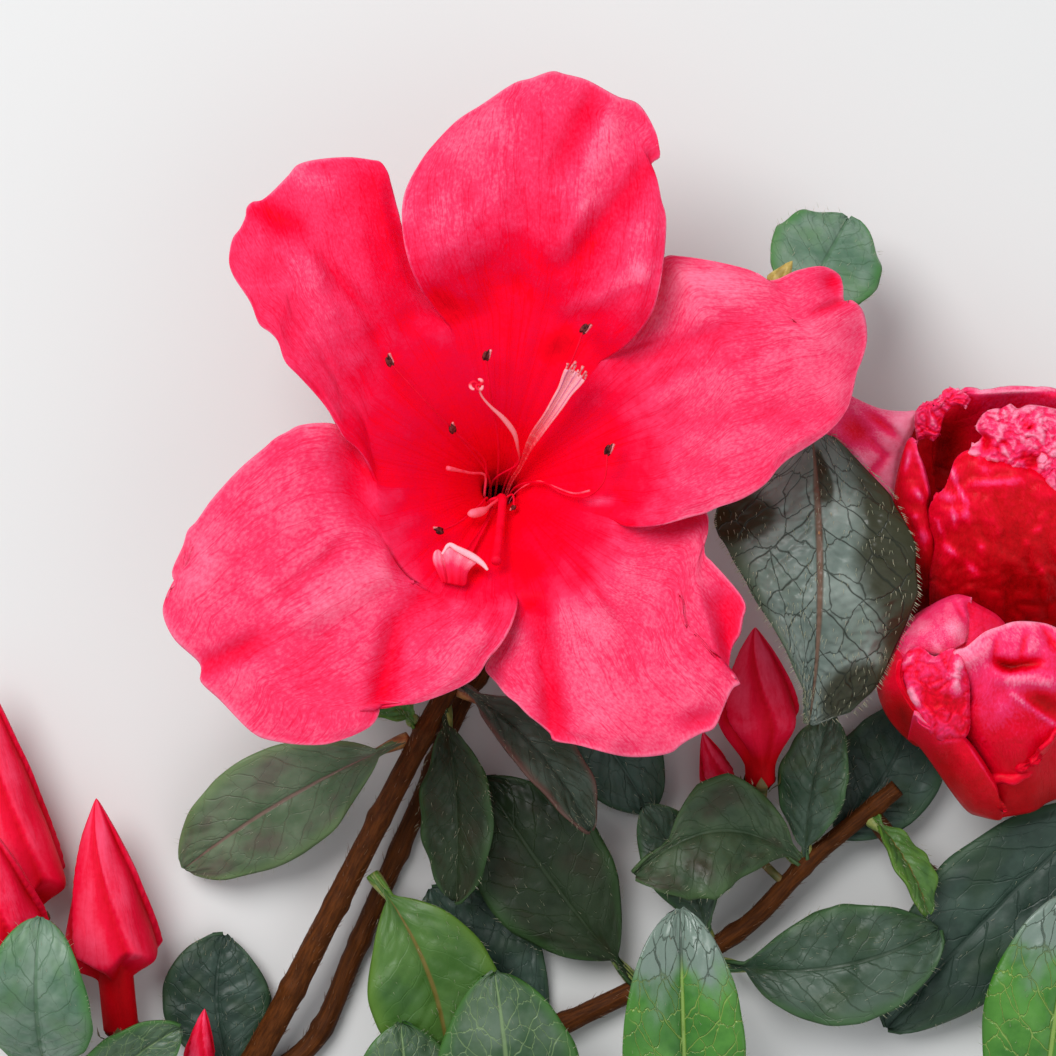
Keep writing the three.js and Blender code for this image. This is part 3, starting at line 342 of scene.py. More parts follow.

# Their front sheets, from the lowest to the uppermost. An outline runs from the foot's left corner by the
# tip; corners are its other three, heights and tones stand at all four, and low tones at a foot or in a
# hollow are painted shade. Crumple is height, grain and painted light: crests paler as painted highlight,
# creases darker as painted shade. Folds are as on the open bloom's lobes. A sheet without folds or a crumple
# of its own has the plain ones.
PLAIN_SHEET = {"crumple": (0.15, 2, 0.04), "folds": ()}
SHEETS = {
    "double_upper": {
        "hollow": {
            "corners": (2, 6, 8), "heights": (10, 15, 16, 10), "puff": -1,
            "tones": (0.3, 0.36, 0.42, 0.26), "crumple": (0.2, 2, 0.05),
            "outline": [
                (41.1, -9.6), (40.7, -3.4), (40.3, 9.4), (41.5, 12.1), (46.2, 13.7), (54.8, 14.2),
                (61.2, 12.6), (62.5, 3), (62.1, -10.1), (56.9, -10.7), (50.5, -10.7),
            ],
        },
        "outer": {
            "corners": (4, 6, 10), "heights": (16, 17.6, 20, 18), "puff": 1,
            "tones": (0.94, 0.9, 0.86, 0.95), "crumple": (0.15, 3, 0.03),
            "outline": [
                (38.9, 0.6), (37.2, 2.1), (34.5, 4.9), (31.9, 7.8), (30.4, 8.8), (30.5, 11),
                (33.9, 14.6), (34.7, 14.1), (37.7, 12.8), (40.3, 12.5), (41.5, 12.5), (41.5, 11),
                (40.1, 7.8), (39.4, 3.5),
            ],
            "folds": [
                (33.6, 11.8, 36.4, 9.2, 1.4, -0.7, -0.26), (36.4, 12.4, 40, 9.4, 0.5, -0.6, -0.2),
                (36.8, 9.2, 38.3, 7.7, 0.5, -0.5, -0.16), (38.3, 7.7, 36.4, 5.3, 0.5, -0.5, -0.18),
                (39.8, 12.4, 40.2, 9.4, 1.1, 0.3, 0.06), (34.5, 8.9, 36.4, 6.2, 0.6, 0.2, 0.03),
            ],
        },
        "back": {
            "corners": (4, 7, 9), "heights": (13, 22, 19, 14), "puff": -1.6,
            "tones": (0.42, 0.72, 0.68, 0.44), "crumple": (0.25, 2.5, 0.06),
            "outline": [
                (42.8, 3.9), (43.2, 6.2), (43.9, 11), (44.6, 12.6), (46.9, 14.6), (48.9, 14.7),
                (54.8, 15), (61.7, 12.1), (62.5, 8.3), (62.1, 3), (56.9, 2.5), (50.5, 2.5), (46.2, 3),
            ],
            "folds": [
                (43.4, 11, 43.9, 4.1, 2.8, -0.8, -0.3), (46.2, 13.2, 45.2, 6.2, 2.1, -1, -0.16),
                (47.3, 14.4, 55.9, 14.8, 0.3, 0.3, 0.3),
            ],
        },
        "frill": {
            "corners": (2, 6, 11), "heights": (18.5, 21.5, 23, 20.5), "puff": 0.8,
            "tones": (0.74, 0.84, 0.8, 0.7), "crumple": (0.6, 1, 0.34),
            "outline": [
                (41.6, 9.3), (41.4, 12.3), (42.2, 13.3), (44.1, 13.9), (44.4, 14.7), (45.4, 15),
                (47.1, 14), (46.9, 13.1), (45.9, 13.2), (44.9, 12.5), (44.4, 11.6), (44.1, 10.3),
                (43.4, 9.3), (42.6, 9.6),
            ],
        },
        "upright": {
            "corners": (6, 8, 15), "heights": (12, 21, 21.5, 14), "puff": 1.4,
            "tones": (0.2, 0.56, 0.64, 0.2), "crumple": (0.3, 1.6, 0.1),
            "outline": [
                (41.1, -10.3), (40.7, -7.7), (40.3, -3.4), (39.6, -0.2), (39.1, 1.7), (39.5, 5.7),
                (40.7, 9.5), (41.1, 9.7), (41.5, 9.2), (41.8, 8.1), (42.4, 6.7), (43.1, 3.6),
                (42.9, 2.4), (43.4, -0.2), (43.9, -3.4), (44.7, -10.3),
            ],
            "folds": [
                (42.2, 0.2, 42.6, -2.1, 0.7, 0.3, 0.36), (41.5, 4.1, 42.2, 3, 0.4, 0.3, 0.4),
                (41.1, 1.2, 41.9, 1.3, 0.4, 0.3, 0.42), (40.8, 8.1, 40.4, 6.2, 0.3, 0.2, 0.34),
                (41.5, 8.8, 43, 3.6, 0.3, 0.2, 0.26), (43.9, -3.4, 43, -10.3, 2.1, -0.6, -0.2),
                (41.1, 5.1, 41.2, 3, 0.7, 0.2, 0.06), (42.5, -2.4, 42.7, -4, 0.6, 0.2, 0.1),
            ],
        },
        "petal_low": {
            "corners": (5, 11, 13), "heights": (13, 21.6, 22, 12.5), "puff": 3.2,
            "tones": (0.26, 0.6, 0.5, 0.22), "crumple": (0.4, 1.7, 0.16),
            "outline": [
                (43, -11.3), (43, -4.5), (43.5, -1.8), (43, 0.3), (42.9, 2.1), (43.8, 3.6),
                (44.7, 4.4), (45.8, 7.5), (47.3, 8.4), (53.7, 7), (56.5, 5.6), (61.7, 4.6),
                (63.1, -3.4), (62.5, -12.2), (56.9, -12.8), (50.5, -12.8), (46.2, -12.2),
            ],
            "folds": [
                (45.2, 3, 46.4, 0.4, 1.7, 0.4, 0.14), (44.6, -1.8, 45.9, -3, 0.4, 0.3, 0.5),
                (46.8, -3.6, 48.1, -4.9, 0.4, 0.3, 0.46), (48.3, -1.9, 48.8, -2.1, 0.4, 0.2, 0.4),
                (53.9, -0.4, 55, 0, 0.4, 0.2, 0.34), (53, -1.3, 53.6, -1.7, 0.3, 0.2, 0.3),
                (54.6, -4.3, 55.4, -4.6, 0.5, 0.3, 0.42), (47.8, 4.8, 52.9, 5, 0.5, 0.3, 0.34),
                (48.5, 6.4, 49.2, 6, 0.4, 0.2, 0.26), (45.2, 6.6, 46, 4.4, 0.3, 0.5, 0.42),
                (46, 4.4, 47, 2.6, 0.3, 0.5, 0.42), (44.2, 3.4, 45.6, 3.2, 0.5, 0.3, 0.34),
                (45.4, 2.1, 45.7, 0.3, 0.3, 0.2, 0.3), (46.9, 1.9, 47.1, 0.9, 0.4, 0.3, 0.36),
                (43.7, 0.9, 44.5, -0.9, 0.2, 0.2, 0.34), (50.5, -3.4, 56.5, -7.7, 2.8, 0, -0.1),
            ],
        },
        "crumple": {
            "corners": (5, 10, 12), "heights": (21.4, 22.4, 20.5, 21.5), "puff": 2,
            "tones": (0.86, 0.92, 0.92, 0.86), "crumple": (0.8, 1.2, 0.3),
            "outline": [
                (46.9, 7.8), (47.5, 8.8), (48.6, 9.7), (47.9, 10.7), (48.9, 12.4), (50.1, 12.8),
                (50.9, 12.8), (51.6, 13.3), (52.4, 12.8), (53.7, 13.2), (60.3, 11.1), (60.8, 8.3),
                (59.7, 3.9), (56.5, 4.6), (54.8, 5), (54.1, 5.8), (51.4, 6.2), (50.3, 6.8), (48.8, 7),
            ],
            "folds": [
                (48.8, 9.8, 49.9, 8.1, 0.7, -0.5, -0.36), (51.4, 10.5, 50.9, 8.8, 0.5, -0.3, -0.2),
                (52.6, 8.1, 55.2, 7.1, 0.9, -0.4, -0.3), (53.3, 11.1, 54.1, 10.5, 0.4, -0.3, -0.3),
            ],
        },
        "crumple_low": {
            "corners": (1, 4, 5), "heights": (21.6, 22.6, 20.5, 21), "puff": 1.5,
            "tones": (0.86, 0.92, 0.88, 0.76), "crumple": (0.7, 1.2, 0.3),
            "outline": [
                (54.4, 5.8), (54.1, 8.8), (55, 9.7), (56.5, 9.4), (60.3, 8.7), (60.1, 3.4), (58, 3.4),
                (56.5, 3.6),
            ],
        },
    },
    "double_lower": {
        "top": {
            "corners": (2, 3, 6), "heights": (21.5, 25.5, 25.5, 21.5), "puff": 0.6,
            "tones": (0.66, 0.7, 0.7, 0.64),
            "outline": [
                (51.8, -11.1), (50.1, -12.5), (48.9, -14.1), (45.4, -14.1), (45.7, -12), (46, -9.6),
                (46, -7.3), (47.1, -7.3), (47.8, -7.9), (50.2, -9.3),
            ],
        },
        "pink": {
            "corners": (1, 5, 7), "heights": (22, 25.4, 23, 17), "puff": 3.6,
            "tones": (0.81, 0.9, 0.87, 0.75),
            "outline": [
                (47.5, -7.4), (46.9, -12.2), (43.7, -14), (42.4, -13.5), (41.2, -13.3), (40.1, -13.9),
                (39.4, -13.3), (38.8, -12.6), (39.2, -11.8), (39.6, -11), (40.3, -10.4), (41.4, -9.3),
                (45.7, -7.1),
            ],
            "folds": [
                (45.4, -10.1, 46, -11.6, 0.9, 0.3, 0.12), (45.7, -8.1, 46.9, -10.1, 0.3, -0.3, -0.14),
                (46.7, -7.7, 47.5, -9.4, 0.3, -0.3, -0.12), (40.3, -11.3, 43.5, -10.1, 0.9, 0.2, 0.1),
                (39.5, -12, 38.9, -14.1, 0.4, 0, -0.14), (43, -12, 44.5, -13.7, 0.5, 0.3, 0.06),
            ],
        },
        "left": {
            "corners": (1, 5, 7), "heights": (18, 24.6, 23.8, 11.5), "puff": 2,
            "tones": (0.62, 0.64, 0.5, 0.3),
            "outline": [
                (38.9, -12.2), (40.1, -13.8), (39.9, -15), (40, -16.3), (41.6, -19.3), (42.3, -20.2),
                (42.2, -21.8), (41.8, -23.4), (40.3, -22.4), (38.2, -19.8), (37.3, -16.8),
                (37.7, -15.7), (38.7, -13.1),
            ],
            "folds": [
                (39.7, -18.4, 40.7, -22.3, 0.9, -0.4, -0.22),
                (38.1, -15.4, 38.7, -18.8, 0.7, 0.2, 0.04), (37.9, -17.3, 38.9, -20.1, 0.4, 0, -0.1),
            ],
        },
        "bowl": {
            "corners": (3, 8, 11), "heights": (22.2, 25.2, 27, 22), "puff": 1.4,
            "tones": (0.68, 0.74, 0.74, 0.66), "crumple": (0.5, 1, 0.2),
            "outline": [
                (42.2, -21), (40.6, -17.9), (39.9, -14.8), (40.6, -13.2), (41.9, -12.7), (43.5, -13.7),
                (44.6, -13.1), (45.7, -12.9), (46.5, -13.9), (47.2, -16.3), (47.3, -18.4), (47, -22.2),
                (44.8, -23), (43.2, -22.2),
            ],
            "folds": [
                (40.7, -17.1, 41.9, -19.3, 0.5, 0.6, 0.36), (46, -14.1, 45.9, -17.3, 0.6, 0.7, 0.3),
                (42.5, -17.3, 45.7, -19.7, 1.4, -0.6, -0.14),
                (40.2, -14.6, 41.3, -13.6, 0.3, 0.3, 0.3),
            ],
        },
        "right": {
            "corners": (8, 15, 18), "heights": (12, 27.4, 25, 10.5), "puff": 5.2,
            "tones": (0.34, 0.9, 0.86, 0.3), "crumple": (0.2, 2, 0.05),
            "outline": [
                (50.7, -31), (49.4, -28.2), (48, -24.5), (46.9, -22.3), (46.3, -20.1), (46.9, -18.4),
                (46.8, -15.7), (46, -14.6), (45.7, -13.5), (46.8, -12.8), (48.9, -11.1), (50.5, -10.5),
                (52.1, -10), (55.3, -10.2), (56.9, -10.8), (61.7, -12.5), (63.3, -18.4), (62.5, -25),
                (59.9, -28.2), (57.8, -28.7), (55.6, -29.4), (54.2, -30.3),
            ],
            "folds": [
                (49.9, -14.2, 51.8, -15, 0.6, -1.6, -0.5), (51.4, -14.9, 54.6, -14.4, 0.6, -1.5, -0.5),
                (50.5, -15.8, 56.5, -16.7, 1, 0.9, 0.2), (51.8, -17.8, 54.4, -19.7, 0.3, 0.5, 0.3),
                (54.4, -19.7, 56.9, -21.4, 0.3, 0.5, 0.3), (53.7, -17.8, 57.1, -19.7, 1, -1, -0.34),
                (50.3, -11.6, 49.9, -13.7, 0.4, -0.4, -0.2),
                (53.3, -11.1, 52.8, -13.7, 0.4, -0.4, -0.2), (55, -10.5, 56.5, -13.1, 0.5, -0.5, -0.2),
                (47.3, -14.3, 49.4, -11.8, 1.2, 0.4, 0.1), (53.9, -11.8, 53.5, -13.7, 0.9, 0.3, 0.08),
                (47.1, -17.3, 47.5, -22.7, 1.1, 0, -0.1), (50.5, -20, 56.9, -24.8, 3.2, 0.3, 0.02),
                (50.5, -18.4, 51.1, -20.1, 1, 0.2, 0.14),
            ],
        },
        "low_left": {
            "corners": (2, 8, 9), "heights": (13, 24.6, 16, 10), "puff": 3.6,
            "tones": (0.5, 0.66, 0.4, 0.4),
            "outline": [
                (40.6, -22.6), (40.9, -21.3), (41.3, -20), (42.5, -20.8), (45.2, -21.8), (46.5, -22.1),
                (50, -27.1), (50.4, -28.6), (50.8, -30.4), (50.6, -31.2), (48.4, -30.9), (47.1, -30.4),
                (41.6, -23.2),
            ],
            "folds": [
                (41.7, -20.1, 44.7, -21.7, 0.4, 0.3, 0.3), (44.7, -21.7, 46.4, -22.1, 0.4, 0.3, 0.3),
                (46.7, -22.5, 50.3, -28.2, 0.2, 0.3, 0.2), (43.7, -23.1, 46.4, -22.7, 0.3, 0.2, 0.14),
                (43, -23.5, 46.9, -29.1, 0.5, 0, -0.1),
            ],
        },
    },
}


def smooth(low, high, x):
    t = np.clip((np.asarray(x, float) - low) / (high - low), 0, 1)
    return t * t * (3 - 2 * t)


def unit(vectors):
    vectors = np.asarray(vectors, float)
    return vectors / np.linalg.norm(vectors, axis=-1, keepdims=True)


def seen(points):
    """True places of points seen in the plane of the bloom's face, each with its height."""
    points = np.asarray(points, float)
    spread = 1 + (FACE_PLANE - points[..., 2]) / EYE_ABOVE
    return np.stack([points[..., 0] * spread, points[..., 1] * spread, points[..., 2]], -1)


def grain(points, size, seed=0.0):
    """Smooth noise from -1 to 1 at places, with grains of that size."""
    return np.array([noise.noise(Vector(p) / size + Vector((seed, 0, -seed))) for p in points])


def curve_through(points, count, cuts=None):
    """Evenly spaced places along a centripetal curve through points, or between two of its points."""
    points = np.asarray(points, float)
    ends = np.vstack([2 * points[0] - points[1], points, 2 * points[-1] - points[-2]])
    knots = np.concatenate([[0], np.cumsum(np.linalg.norm(np.diff(ends, axis=0), axis=1) ** 0.5)])
    first, last = cuts or (0, len(points) - 1)
    t = np.linspace(knots[first + 1], knots[last + 1], 40 * (last - first) + 1)
    i = np.clip(np.searchsorted(knots, t, side="right") - 1, 1, len(ends) - 3)

    def between(a, b, low, high):
        share = ((t - low) / (high - low))[:, None]
        return a * (1 - share) + b * share

    k = [knots[i - 1], knots[i], knots[i + 1], knots[i + 2]]
    p = [ends[i - 1], ends[i], ends[i + 1], ends[i + 2]]
    a = [between(p[n], p[n + 1], k[n], k[n + 1]) for n in range(3)]
    b = [between(a[0], a[1], k[0], k[2]), between(a[1], a[2], k[1], k[3])]
    return evenly(between(b[0], b[1], k[1], k[2]), count)


def evenly(line, count):
    """A polyline resampled to count evenly spaced places."""
    way = np.concatenate([[0], np.cumsum(np.linalg.norm(np.diff(line, axis=0), axis=1))])
    at = np.linspace(0, way[-1], count)
    return np.stack([np.interp(at, way, line[:, axis]) for axis in range(line.shape[1])], -1)


def length_of(line):
    return float(np.linalg.norm(np.diff(line, axis=0), axis=1).sum())


def bent_line(foot, bend, end, fine, count):
    """Evenly spaced places along a line from foot to end that is pulled towards a bend."""
    t = np.linspace(0, 1, fine)[:, None]
    return evenly(foot * (1 - t) ** 2 + bend * 2 * t * (1 - t) + end * t ** 2, count)


def cross_directions(axis):
    """Two directions across an axis, the first of them level."""
    first = unit(np.cross(UP, axis))
    return first, np.cross(axis, first)


def seed_of(name, step):
    """A number of its own for each name, so that no two pieces are alike."""
    return sum(ord(letter) for letter in name) * step


def from_corners(values, t, v):
    """A value on a sheet from those at its foot's left, tip's left, tip's right and foot's right corner."""
    return (values[0] * (1 - t) + values[3] * t) * (1 - v) + (values[1] * (1 - t) + values[2] * t) * v


def carried_frames(line):
    """Tangents and two cross directions along a line, carried along it without twist."""
    tangents = unit(np.gradient(line, axis=0))
    side = np.cross(tangents[0], UP if abs(tangents[0][2]) < 0.9 else RIGHT)
    sides = []
    for tangent in tangents:
        side = unit(side - tangent * np.dot(side, tangent))
        sides.append(side)
    sides = np.array(sides)
    return tangents, sides, np.cross(tangents, sides)


def bent_grid(across, along, place, into=None, finish=0, tone=0.5):
    """A grid bent by place(u, v), u from -1 to 1 and v from 0 to 1, which may give each place a tone too.
    Its UV map keeps u and v."""
    bm = into or bmesh.new()
    if not bm.loops.layers.uv:
        bm.loops.layers.uv.new("UVMap")
    tones = bm.verts.layers.float.get("tone") or bm.verts.layers.float.new("tone")
    made = bmesh.ops.create_grid(bm, x_segments=across, y_segments=along, size=1, calc_uvs=True)["verts"]
    flat = np.array([vert.co for vert in made])
    bent = place(flat[:, 0], (flat[:, 1] + 1) / 2)
    places, shades = bent if isinstance(bent, tuple) else (bent, np.full(len(flat), tone))
    for vert, at, shade in zip(made, places, shades):
        vert.co = at
        vert[tones] = shade
    if finish:
        for face in {face for vert in made for face in vert.link_faces}:
            face.material_index = finish
    return bm


def spread_between(left, tip, right, base):
    """Places on a sheet between four edges: left and right run from the base to the tip."""

    def on(edge, share):
        at = np.linspace(0, 1, len(edge))
        return np.stack([np.interp(share, at, edge[:, axis]) for axis in range(edge.shape[1])], -1)

    def spread(t, w):
        across, up = t[:, None], w[:, None]
        sides = on(left, w) * (1 - across) + on(right, w) * across
        ends = on(base, t) * (1 - up) + on(tip, t) * up
        foot = left[0] * (1 - across) + right[0] * across
        head = tip[0] * (1 - across) + tip[-1] * across
        return sides + ends - foot * (1 - up) - head * up

    return spread


def widening(start, more, low, high):
    """A rod's radius that grows between two shares of its way."""
    return lambda turn, share: start + more * smooth(low, high, share)


def round_rod(line, radius, sides, into=None, finish=0, tone=0.5):
    """A rod with closed ends along a line, its radius a number or a function of the turn and the share."""
    along = len(line) + 1
    _, sideways, upward = carried_frames(line)

    def place(u, v):
        row = np.rint(v * along).astype(int)
        at = np.clip(row - 1, 0, len(line) - 1)
        turn = np.pi * u
        wide = radius(turn, at / (len(line) - 1)) if callable(radius) else np.full(len(u), float(radius))
        wide = np.where((row == 0) | (row == along), 0, wide)[:, None]
        out = sideways[at] * np.cos(turn)[:, None] * wide
        return line[at] + out + upward[at] * np.sin(turn)[:, None] * wide

    return bent_grid(sides, along, place, into, finish, tone)


def mesh_of(name, bm, finishes):
    mesh = bpy.data.meshes.new(name)
    bm.to_mesh(mesh)
    bm.free()
    for finish in finishes:
        mesh.materials.append(finish)
    return mesh


def add_object(name, data):
    made = bpy.data.objects.new(name, data)
    bpy.context.scene.collection.objects.link(made)
    return made


def piece(name, bm, finishes, nodes=(), thick=0.0, merge=1e-3):
    """Turns a bmesh in millimetres into a finished piece that rides on the branch and lies on the surface."""
    bmesh.ops.remove_doubles(bm, verts=bm.verts, dist=merge)
    for vert in bm.verts:
        vert.co.z = max(vert.co.z, SURFACE + thick)
    bm.transform(TO_FRAME)
    mesh = mesh_of(name, bm, finishes)
    mesh.shade_smooth()
    obj = add_object(name, mesh)
    if thick:
        wall = obj.modifiers.new("Wall", "SOLIDIFY")
        wall.thickness = thick * MM
        wall.offset = -1
    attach(obj, "root")
    if nodes:
        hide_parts(*nodes)


# Finishes
def add_node(tree, kind, ins=None, **settings):
    """A node with its inputs linked where they are given a socket. Colours are given without their alpha."""
    made = tree.nodes.new(kind)
    for key, value in settings.items():
        setattr(made, key, value)
    for key, value in (ins or {}).items():
        socket = made.inputs[key]
        if isinstance(value, bpy.types.NodeSocket):
            tree.links.new(value, socket)
        else:
            socket.default_value = (*value, 1) if socket.type == "RGBA" else value
    return made


def calc(tree, operation, *values):
    ins = dict(enumerate(values))
    return add_node(tree, "ShaderNodeMath", ins, operation=operation).outputs[0]


def blend(tree, share, low, high):
    return add_node(tree, "ShaderNodeMix", {0: share, 6: low, 7: high}, data_type="RGBA").outputs[2]


def noise_fac(tree, place, scale, detail=3.0, rough=0.5):
    ins = {"Vector": place, "Scale": scale, "Detail": detail, "Roughness": rough}
    return add_node(tree, "ShaderNodeTexNoise", ins).outputs["Fac"]


def ramp(tree, value, low, high, start=0.0, end=1.0):
    ins = {"Value": value, "From Min": low, "From Max": high, "To Min": start, "To Max": end}
    return add_node(tree, "ShaderNodeMapRange", ins, interpolation_type="SMOOTHSTEP").outputs["Result"]


def stretched(tree, place, scale, location=(0, 0, 0)):
    ins = {"Vector": place, "Scale": scale, "Location": location}
    return add_node(tree, "ShaderNodeMapping", ins).outputs["Vector"]


def new_finish(name, roughness, **constants):
    """A material whose shader has those constants."""
    material = bpy.data.materials.new(name)
    material.use_nodes = True
    shader = material.node_tree.nodes["Principled BSDF"]
    shader.inputs["Roughness"].default_value = roughness
    for key, value in constants.items():
        shader.inputs[key.replace("_", " ")].default_value = value
    return material, material.node_tree, shader


def coordinates(tree, kind):
    return add_node(tree, "ShaderNodeTexCoord").outputs[kind]


def dress(tree, shader, colour, height, strength, distance):
    """Links a colour and the bumps of a height to the shader."""
    relief = add_node(tree, "ShaderNodeBump", {"Height": height, "Strength": strength, "Distance": distance})
    tree.links.new(relief.outputs["Normal"], shader.inputs["Normal"])
    tree.links.new(colour, shader.inputs["Base Color"])


def uv_parts(tree, uv):
    """Across from -1 to 1, and along from 0 to 1."""
    parts = add_node(tree, "ShaderNodeSeparateXYZ", {0: uv})
    across = calc(tree, "MULTIPLY_ADD", parts.outputs[0], 2.0, -1.0)
    return across, parts.outputs[1]


def shades_of(tree, tone, stops):
    """Colours along a tone from 0 to 1."""
    made = add_node(tree, "ShaderNodeValToRGB", {0: tone})
    marks = made.color_ramp.elements
    while len(marks) < len(stops):
        marks.new(0.5)
    for mark, (at, colour) in zip(marks, stops):
        mark.position = at
        mark.color = (*colour, 1)
    return made.outputs["Color"]


def petal_finish(name, stops, roughness=0.55, gloss=0.03, dashes=(120, 60), veins=(16, 1.6), mottle=0.05,
                 vein_show=0.6):
    """Petal skin: its tone comes from the piece, broken up by dashes, branching veins and fine grains."""
    material, tree, shader = new_finish(name, roughness, Specular_IOR_Level=gloss)
    place, uv = coordinates(tree, "Object"), coordinates(tree, "UV")
    # The tone attribute brings in the piece's painted shade and highlights, and the open bloom's painted
    # sheen.
    tone = add_node(tree, "ShaderNodeAttribute", attribute_name="tone").outputs["Fac"]
    cloud = noise_fac(tree, place, 170.0, 5.0, 0.65)
    tone = calc(tree, "ADD", tone, ramp(tree, cloud, 0.3, 0.7, -0.6 * mottle, 0.6 * mottle))
    along = uv_parts(tree, uv)[1]
    dash = noise_fac(tree, stretched(tree, uv, (*dashes, 1)), 1.0, 3.0, 0.6)
    dash = calc(tree, "MULTIPLY", calc(tree, "SUBTRACT", dash, 0.5), ramp(tree, along, 0.15, 0.45, 0.05, 1.0))
    tone = calc(tree, "ADD", tone, ramp(tree, dash, -0.2, 0.2, -mottle, 0.7 * mottle))
    branching = noise_fac(tree, stretched(tree, uv, (*veins, 1)), 1.0, 4.0, 0.55)
    off = calc(tree, "ABSOLUTE", calc(tree, "SUBTRACT", branching, 0.5))
    line = ramp(tree, off, 0.0, 0.022, 1.0, 0.0)
    tone = calc(tree, "MULTIPLY_ADD", line, -vein_show * mottle, tone)
    fine = noise_fac(tree, place, 2200.0, 2.0, 0.6)
    tone = calc(tree, "ADD", tone, ramp(tree, fine, 0.3, 0.7, -0.4 * mottle, 0.4 * mottle))
    crinkle = noise_fac(tree, place, 420.0, 4.0, 0.6)
    relief = calc(tree, "MULTIPLY_ADD", crinkle, 1.2, calc(tree, "MULTIPLY_ADD", line, -0.4, dash))
    dress(tree, shader, shades_of(tree, tone, stops), relief, 0.35, 0.00014)
    return material


def patch_around(tree, across, along, spot):
    """How far a place is from the middle of a dark spot, squared: 1 at its rim."""
    parts = []
    for at, middle, reach in zip((across, along), spot[:2], spot[2:]):
        off = calc(tree, "SUBTRACT", at, middle)
        parts.append(calc(tree, "POWER", calc(tree, "DIVIDE", off, reach), 2.0))
    return calc(tree, "ADD", *parts)


def leaf_finish(name, colours, gloss=0.3, roughness=0.4, vein_show=0.5, cells=(5, 9), puff=0.5, net_show=0.4,
                midrib_tint=None, dark_spots=(), dark_spot_colour=None, sheen=None):
    """Leaf skin: a midrib, arching side veins, a net between them, a painted sheen in patches and a brighter
    rim. Dark spots are darker places at across and along with their widths; a sheen is a painted reflection
    on the tip, whose veins are dark cracks."""
    base, light, vein, tint, rim = colours
    material, tree, shader = new_finish(name, roughness, Specular_IOR_Level=gloss)
    place, uv = coordinates(tree, "Object"), coordinates(tree, "UV")
    across, along = uv_parts(tree, uv)
    out = calc(tree, "ABSOLUTE", across)
    side = calc(tree, "SIGN", across)
    wander = noise_fac(tree, stretched(tree, uv, (4, 7, 1)), 1.0, 2.0)
    climb = calc(tree, "MULTIPLY_ADD", out, -VEIN_CLIMB, calc(tree, "MULTIPLY", along, VEIN_PAIRS))
    climb = calc(tree, "MULTIPLY_ADD", wander, 0.9, climb)
    climb = calc(tree, "MULTIPLY_ADD", side, VEIN_STAGGER, climb)
    side_vein = ramp(tree, calc(tree, "PINGPONG", climb, 0.5), 0.0, 0.045, 1.0, 0.0)
    side_vein = calc(tree, "MULTIPLY", side_vein, ramp(tree, out, 0.75, 0.97, 1.0, 0.0))
    wobble = add_node(tree, "ShaderNodeTexNoise", {"Vector": uv, "Scale": 14.0, "Detail": 3.0})
    ins = {0: wobble.outputs["Color"], 1: (0.06, 0.06, 0), 2: uv}
    bent = add_node(tree, "ShaderNodeVectorMath", ins, operation="MULTIPLY_ADD").outputs[0]
    ins = {"Vector": stretched(tree, bent, (*cells, 1)), "Scale": 1.0}
    net = add_node(tree, "ShaderNodeTexVoronoi", ins, feature="DISTANCE_TO_EDGE", voronoi_dimensions="2D")
    net = ramp(tree, net.outputs["Distance"], 0.0, 0.04, 1.0, 0.0)
    midrib = ramp(tree, out, 0.015, 0.05, 1.0, 0.0)
    lines = calc(tree, "MAXIMUM", side_vein, calc(tree, "MULTIPLY", net, net_show))
    lines = calc(tree, "MAXIMUM", midrib, lines)
    cloud = noise_fac(tree, place, 160.0, 4.0, 0.6)
    # Painted sheen: the light colour in cloudy patches stands for reflected sky.
    colour = blend(tree, ramp(tree, cloud, 0.3, 0.68), base, light)
    patches = noise_fac(tree, stretched(tree, uv, (2.2, 3.4, 1), (3, 1, 0)), 1.0, 3.0, 0.6)
    colour = blend(tree, ramp(tree, patches, 0.48, 0.7, 0.0, 0.75), colour, tint)
    colour = blend(tree, ramp(tree, out, 0.7, 1.0, 0.0, 0.8), colour, rim)
    for spot in dark_spots:
        ragged = calc(tree, "MULTIPLY_ADD", patches, 1.4, patch_around(tree, across, along, spot))
        colour = blend(tree, ramp(tree, ragged, 1.2, 1.9, 0.92, 0.0), colour, dark_spot_colour)
    # The sheen is a painted reflection of the sky over the tip, with dark veins through it.
    if sheen:
        start, painted_reflection = sheen
        pale = ramp(tree, calc(tree, "MULTIPLY_ADD", patches, 0.5, along), start, start + 0.16)
        colour = blend(tree, pale, colour, painted_reflection)
        vein = blend(tree, pale, vein, (0.02, 0.03, 0.015))
    colour = blend(tree, calc(tree, "MULTIPLY", lines, vein_show), colour, vein)
    if midrib_tint:
        colour = blend(tree, calc(tree, "MULTIPLY", midrib, 0.85), colour, midrib_tint)
    dull = ramp(tree, noise_fac(tree, place, 420.0, 3.0), 0.3, 0.7, roughness - 0.07, roughness + 0.12)
    tree.links.new(dull, shader.inputs["Roughness"])
    puffed = calc(tree, "MULTIPLY_ADD", lines, -1.0, calc(tree, "MULTIPLY", cloud, 0.5))
    puffed = calc(tree, "MULTIPLY_ADD", noise_fac(tree, place, 1500.0, 2.0), 0.25, puffed)
    dress(tree, shader, colour, puffed, puff, 0.0002)
    return material


def bark_finish(name, dark, light, roughness):
    """Bark in strips along the limb, with darker clouds."""
    material, tree, shader = new_finish(name, roughness, Specular_IOR_Level=0.08)
    strips = noise_fac(tree, stretched(tree, coordinates(tree, "UV"), (22, 26, 1)), 1.0, 5.0, 0.65)
    cloud = noise_fac(tree, coordinates(tree, "Object"), 260.0, 5.0, 0.65)
    colour = blend(tree, ramp(tree, strips, 0.3, 0.75), dark, light)
    colour = blend(tree, ramp(tree, cloud, 0.5, 0.75, 0.0, 0.7), colour, dark)
    dress(tree, shader, colour, calc(tree, "MULTIPLY_ADD", strips, 0.8, cloud), 0.8, 0.0003)
    return material


